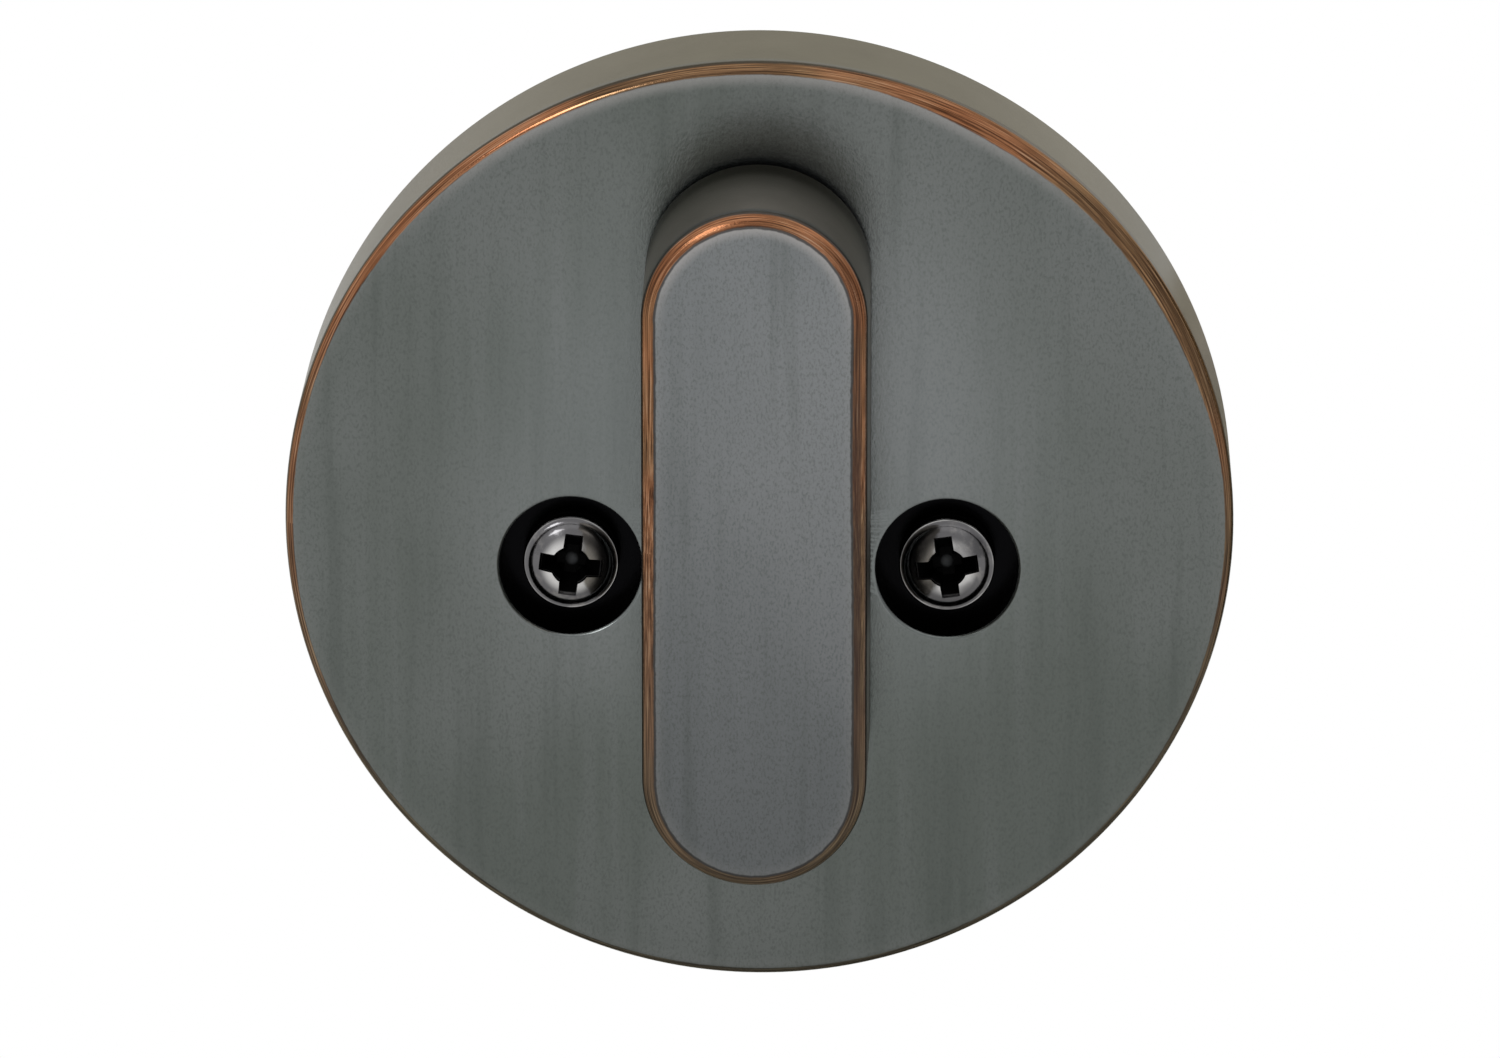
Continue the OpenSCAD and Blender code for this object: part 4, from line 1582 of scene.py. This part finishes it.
@dataclass
class KeyCylinder(SubAssembly):
    """The cylinder, its plug, key, pins and springs. Sizes in millimetres."""

    title = "key cylinder"
    body: str = "trim"
    pins: int = 5
    wire: float = 0.18
    spring_radius: float = 1.17
    bow_radius: float = 12.0

    def springs(self, finish: bpy.types.Material) -> None:
        """Coil the pin springs, each over its driver pin.

        Args:
            finish: The springs' steel.
        """
        for index in range(1, self.pins + 1):
            node = f"pin_spring_{index}"
            low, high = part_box(node)
            tree = coil_tree(self.spring_radius, self.wire, low[2] / MM + self.wire,
                             (high[2] - low[2]) / MM - 2 * self.wire, 6, 10)
            spring = tree.make(f"{node}_wire", finish)
            along = NodeBox.of(f"driver_pin_{index}").middle(Y)
            spring.data.transform(Matrix.Translation(Vector((0, along, 0)) * MM))
            self.settle(Maker.smooth(spring, 60), node, self.body, "steel", finish)

    def key(self, finish: bpy.types.Material) -> None:
        """Mill the key's grooves and sink both faces of its bow.

        Args:
            finish: The key's nickel silver.
        """
        low, high = (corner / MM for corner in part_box("key"))
        piece = Maker.refined("key", 0.2)
        bow = Vector((0, high.y - self.bow_radius, (low.z + high.z) / 2))
        tools = []
        for side in (-1, 1):
            skin = side * high.x
            recess = self._disc(self.bow_radius - 2.6, skin, bow)
            Maker.cut(recess, [self._disc(4.4, skin, bow + Vector((0, 6, 0)), 0.6)])
            tools.append(recess)
            foot = bow.z - 2.2 + side * 1.1
            corners = [(skin - side * 0.4, foot), (skin + side * 0.4, foot),
                       (skin + side * 0.4, foot + 1.1), (skin - side * 0.4, foot + 1.1)]
            if side < 0:
                corners.reverse()
            tools.append(Maker.stack("groove", [
                [Vector((x, y, z)) * MM for x, z in corners]
                for y in (low.y - 1, bow.y - self.bow_radius - 2.6)]))
        Maker.cut(piece, tools)
        self.settle(Maker.smooth(piece, 40), "key", "plug", "nickel", finish)

    @staticmethod
    def _disc(radius: float, skin: float, place: Vector,
              extra: float = 0.0) -> bpy.types.Object:
        """Make a flat disc that sinks into one face of the bow.

        Args:
            radius: Its radius, in millimetres.
            skin: The face's place along X.
            place: The disc's centre.
            extra: How much thicker it is, on each side.

        Returns:
            The disc.
        """
        outline = [(0, -0.3 - extra), (radius, -0.3 - extra), (radius + 0.15, 0.4 + extra),
                   (0, 0.4 + extra)]
        disc = Maker.lathe("disc", outline, count=96)
        turn = Matrix.Rotation(-math.copysign(math.pi / 2, skin), 4, "Z")
        centre = Matrix.Translation((Vector((skin, 0, 0)) + place) * MM)
        disc.data.transform(centre @ turn)
        return disc

    def build(self, brass: bpy.types.Material, nickel: bpy.types.Material,
              steel: bpy.types.Material, face: bpy.types.Material) -> None:
        """Build every piece of the key cylinder.

        Args:
            brass: Finish of the strip, the plug's cap and the key pins.
            nickel: Finish of the key and the driver pins.
            steel: Finish of the springs.
            face: Finish of the shell and the plug, whose fronts show.
        """
        self.ease("cylinder_shell", self.body, "brass", face, 0.15)
        self.ease("chamber_strip", self.body, "brass", brass, 0.1)
        self.ease("plug", "plug", "brass", face, 0.05)
        self.ease("plug_cap", "plug", "brass", brass, 0.2)
        self.key(nickel)
        for index in range(1, self.pins + 1):
            self.ease(f"key_pin_{index}", "plug", "brass", brass, 0.12)
            self.ease(f"driver_pin_{index}", self.body, "nickel", nickel, 0.15)
        self.springs(steel)


@dataclass(frozen=True)
class Flag:
    """A soft dark card in the studio: where it hangs, its size in degrees, its strength."""

    way: Place
    inner: float
    outer: float
    share: float


@dataclass
class Studio:
    """The floor, the lights and the camera. Sizes in millimetres."""

    elevation: float = 16.26
    azimuth: float = 1.3
    distance: float = 700.0
    target: Place = (-0.6, -32.5, -0.176)
    focal: float = 241.7
    floor: float = -42.0
    far: float = 710.65
    flags: tuple[Flag, ...] = (Flag((1.0, -0.3, 0.0), 20, 60, 0.55),
                               Flag((-1.0, -0.3, 0.1), 20, 55, 0.25),
                               Flag((0.0, -0.3, -1.0), 20, 50, 0.5),
                               Flag((0.0, -0.9, 0.44), 14, 38, 0.25))

    def camera(self) -> None:
        """Place the camera at the viewing angle."""
        data = bpy.data.cameras.new("camera")
        data.sensor_width = 36.0
        data.lens = self.focal
        data.clip_start = 0.05
        data.clip_end = self.far * MM
        eye = bpy.data.objects.new("camera", data)
        bpy.context.scene.collection.objects.link(eye)
        up, side = math.radians(self.elevation), math.radians(self.azimuth)
        way = Vector((math.sin(side) * math.cos(up), -math.cos(side) * math.cos(up),
                      math.sin(up)))
        aim = Vector(self.target)
        eye.location = (aim + way * self.distance) * MM
        eye.rotation_euler = (-way).to_track_quat("-Z", "Y").to_euler()
        bpy.context.scene.camera = eye

    def light(self, name: str, place: Sequence[float], size: float, power: float) -> None:
        """Hang one soft square light that looks at the lock.

        Args:
            name: Name of the light.
            place: Where it hangs, in metres.
            size: Its width, in metres.
            power: Its power, in watts.
        """
        data = bpy.data.lights.new(name, "AREA")
        data.shape = "SQUARE"
        data.size = size
        data.energy = power
        lamp = bpy.data.objects.new(name, data)
        bpy.context.scene.collection.objects.link(lamp)
        lamp.location = place
        lamp.rotation_euler = (-Vector(place)).to_track_quat("-Z", "Y").to_euler()

    def ground(self, finish: bpy.types.Material) -> None:
        """Lay the floor."""
        work = bmesh.new()
        bmesh.ops.create_grid(work, x_segments=1, y_segments=1, size=1.5)
        floor = Maker.from_bmesh("floor", work)
        floor.data.transform(Matrix.Translation(Vector((0, 0, self.floor * MM))))
        floor.data.materials.append(finish)

    def _studio_walls(self, tree: bpy.types.NodeTree, strength: Socket) -> None:
        """Dim the white studio where its black flags hang.

        Args:
            tree: The world's nodes.
            strength: The background's strength.
        """
        texture = tree.nodes.new("ShaderNodeTexCoord")
        level: Socket | None = None
        for flag in self.flags:
            dot = tree.nodes.new("ShaderNodeVectorMath")
            dot.operation = "DOT_PRODUCT"
            tree.links.new(texture.outputs["Generated"], dot.inputs[0])
            dot.inputs[1].default_value = Vector(flag.way).normalized()
            fade = tree.nodes.new("ShaderNodeMapRange")
            fade.interpolation_type = "SMOOTHSTEP"
            tree.links.new(dot.outputs["Value"], fade.inputs["Value"])
            fade.inputs["From Min"].default_value = math.cos(math.radians(flag.outer))
            fade.inputs["From Max"].default_value = math.cos(math.radians(flag.inner))
            fade.inputs["To Min"].default_value = 1.0
            fade.inputs["To Max"].default_value = 1.0 - flag.share
            if level is None:
                level = fade.outputs["Result"]
                continue
            both = tree.nodes.new("ShaderNodeMath")
            both.operation = "MULTIPLY"
            tree.links.new(level, both.inputs[0])
            tree.links.new(fade.outputs["Result"], both.inputs[1])
            level = both.outputs[0]
        tree.links.new(level, strength)

    def build(self, floor_finish: bpy.types.Material) -> None:
        """Build the floor, the light, the world and the camera.

        Args:
            floor_finish: Finish of the floor.
        """
        self.ground(floor_finish)
        world = bpy.data.worlds.new("world")
        world.use_nodes = True
        sky = world.node_tree.nodes["Background"]
        sky.inputs["Color"].default_value = (1.0, 1.0, 1.0, 1.0)
        self._studio_walls(world.node_tree, sky.inputs["Strength"])
        bpy.context.scene.world = world
        bpy.context.scene.view_settings.view_transform = "Standard"
        self.light("key_light", (-0.5, -0.7, 0.7), 0.35, 2.0)
        self.camera()


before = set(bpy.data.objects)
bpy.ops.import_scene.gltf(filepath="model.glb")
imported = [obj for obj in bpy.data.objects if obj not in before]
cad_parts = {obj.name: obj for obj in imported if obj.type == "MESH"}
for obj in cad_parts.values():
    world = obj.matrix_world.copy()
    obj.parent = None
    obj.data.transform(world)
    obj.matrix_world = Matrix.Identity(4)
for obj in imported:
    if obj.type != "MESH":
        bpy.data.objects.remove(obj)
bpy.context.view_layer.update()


def bronzes(rose: NodeBox, turn: NodeBox, guard: NodeBox,
            cap: NodeBox) -> dict[str, bpy.types.Material]:
    """Make the worn bronze of each front face.

    Args:
        rose: The rose's box.
        turn: The thumbturn's box.
        guard: The guard ring's box.
        cap: The front cap's box.

    Returns:
        The finishes, by the piece they are for.
    """
    room, half = rose.low[Y], turn.half(X) - TURN_FLARE
    pill = Rim(Side.ROOM, turn.low[Y], half, (0.0, turn.middle(Z)),
               (0.0, turn.half(Z) - half))
    screws = [NodeBox.of(node) for node in ("screw_left", "screw_right")]
    plate, corner = NodeBox.of("faceplate"), PLATE_CORNER
    finishes = (
        WornBronze("bronze_rose", Rim(Side.ROOM, room, rose.half(X)),
                   # pale and highlight_width set the painted highlight line inside the copper.
                   Wear(on_face=0.72, on_side=0.85, lift=0.15, patch=0.5, pale=0.45,
                        highlight_width=1.0),
                   # glow paints a pool of light about the rose's centre.
                   glow=(0.5, 27.0, 5.0), rough=(0.19, 0.25), relief=0.05,
                   sinks=tuple((screw.middle(X), screw.middle(Z)) for screw in screws)),
        WornBronze("bronze_turn", pill,
                   # tarnish and right paint shade on the turn's copper; right adds a painted
                   # highlight line.
                   Wear(on_face=0.95, on_side=0.75, dark_inside=0.8, pale=0.75,
                        highlight_width=1.0, low_shade=0.75, right=0.75),
                   slate=(0.165, 0.174, 0.179), pale=(0.195, 0.203, 0.209),
                   # tone paints light upward and shade downward on the turn; foot sets where
                   # painted shade darkens its sides.
                   wall=(0.3, 0.285, 0.26), top_light=(0.2, 22.0), foot=room - turn.low[Y]),
        WornBronze("bronze_guard", Rim(Side.OUTDOORS, guard.high[Y], GUARD_FRONT)),
        WornBronze("bronze_cap", Rim(Side.OUTDOORS, cap.high[Y], cap.high[X]),
                   Wear(0.3, 0.4)),
        WornBronze("bronze_plate", Rim(Side.EDGE, plate.high[X], corner, (0.0, 0.0),
                                       (plate.half(Y) - corner, plate.half(Z) - corner)),
                   Wear(0.35, 0.5)))
    return {item.name.removeprefix("bronze_"): item.build() for item in finishes}


def plain_metals(spindle: float) -> dict[str, bpy.types.Material]:
    """Make the finishes of the works.

    Args:
        spindle: Height of the plug's axis, which the turning marks follow.

    Returns:
        The finishes, by name.
    """
    finishes = (
        Brushed("bright_steel", (0.7, 0.7, 0.69), (0.42, 0.42, 0.42)),
        Brushed("hardened_bolt", (0.66, 0.65, 0.62), (0.4, 0.39, 0.37), (0.08, 1.0, 1.0)),
        Brushed("turned_brass", (0.82, 0.62, 0.3), (0.55, 0.38, 0.16)),
        Brushed("nickel_silver", (0.5, 0.48, 0.43), (0.28, 0.265, 0.235),
                rough=(0.4, 0.56)),
        Brushed("dull_brass", (0.7, 0.54, 0.28), (0.4, 0.29, 0.14), turned=spindle),
        Plated("zinc_plating"),
        DieCast("cast_zinc"))
    return {item.name: item.build() for item in finishes}


def main() -> None:
    """Build the lock's pieces and the studio."""
    logging.basicConfig(level=logging.INFO, format="%(message)s")
    rose, turn, screw, guard, cap = (NodeBox.of(node) for node in (
        "rose", "thumbturn", "screw_right", "guard_ring", "front_cap"))
    spindle = turn.middle(Z)
    bronze = bronzes(rose, turn, guard, cap)
    metal = plain_metals(spindle)
    steel, brass, nickel = (metal[name] for name in (
        "bright_steel", "turned_brass", "nickel_silver"))
    Studio().build(PaleFloor("pale_floor").build())
    InsideTrim(rose, turn, screw).build(bronze["rose"], bronze["turn"], steel)
    BoltAssembly().build(bronze["plate"], metal["zinc_plating"], steel,
                         metal["hardened_bolt"])
    OutsideTrim(guard, cap, spindle).build(metal["cast_zinc"], bronze["guard"],
                                           bronze["cap"])
    KeyCylinder().build(brass, nickel, steel, metal["dull_brass"])
    bpy.context.view_layer.update()


if __name__ == "__main__":
    main()
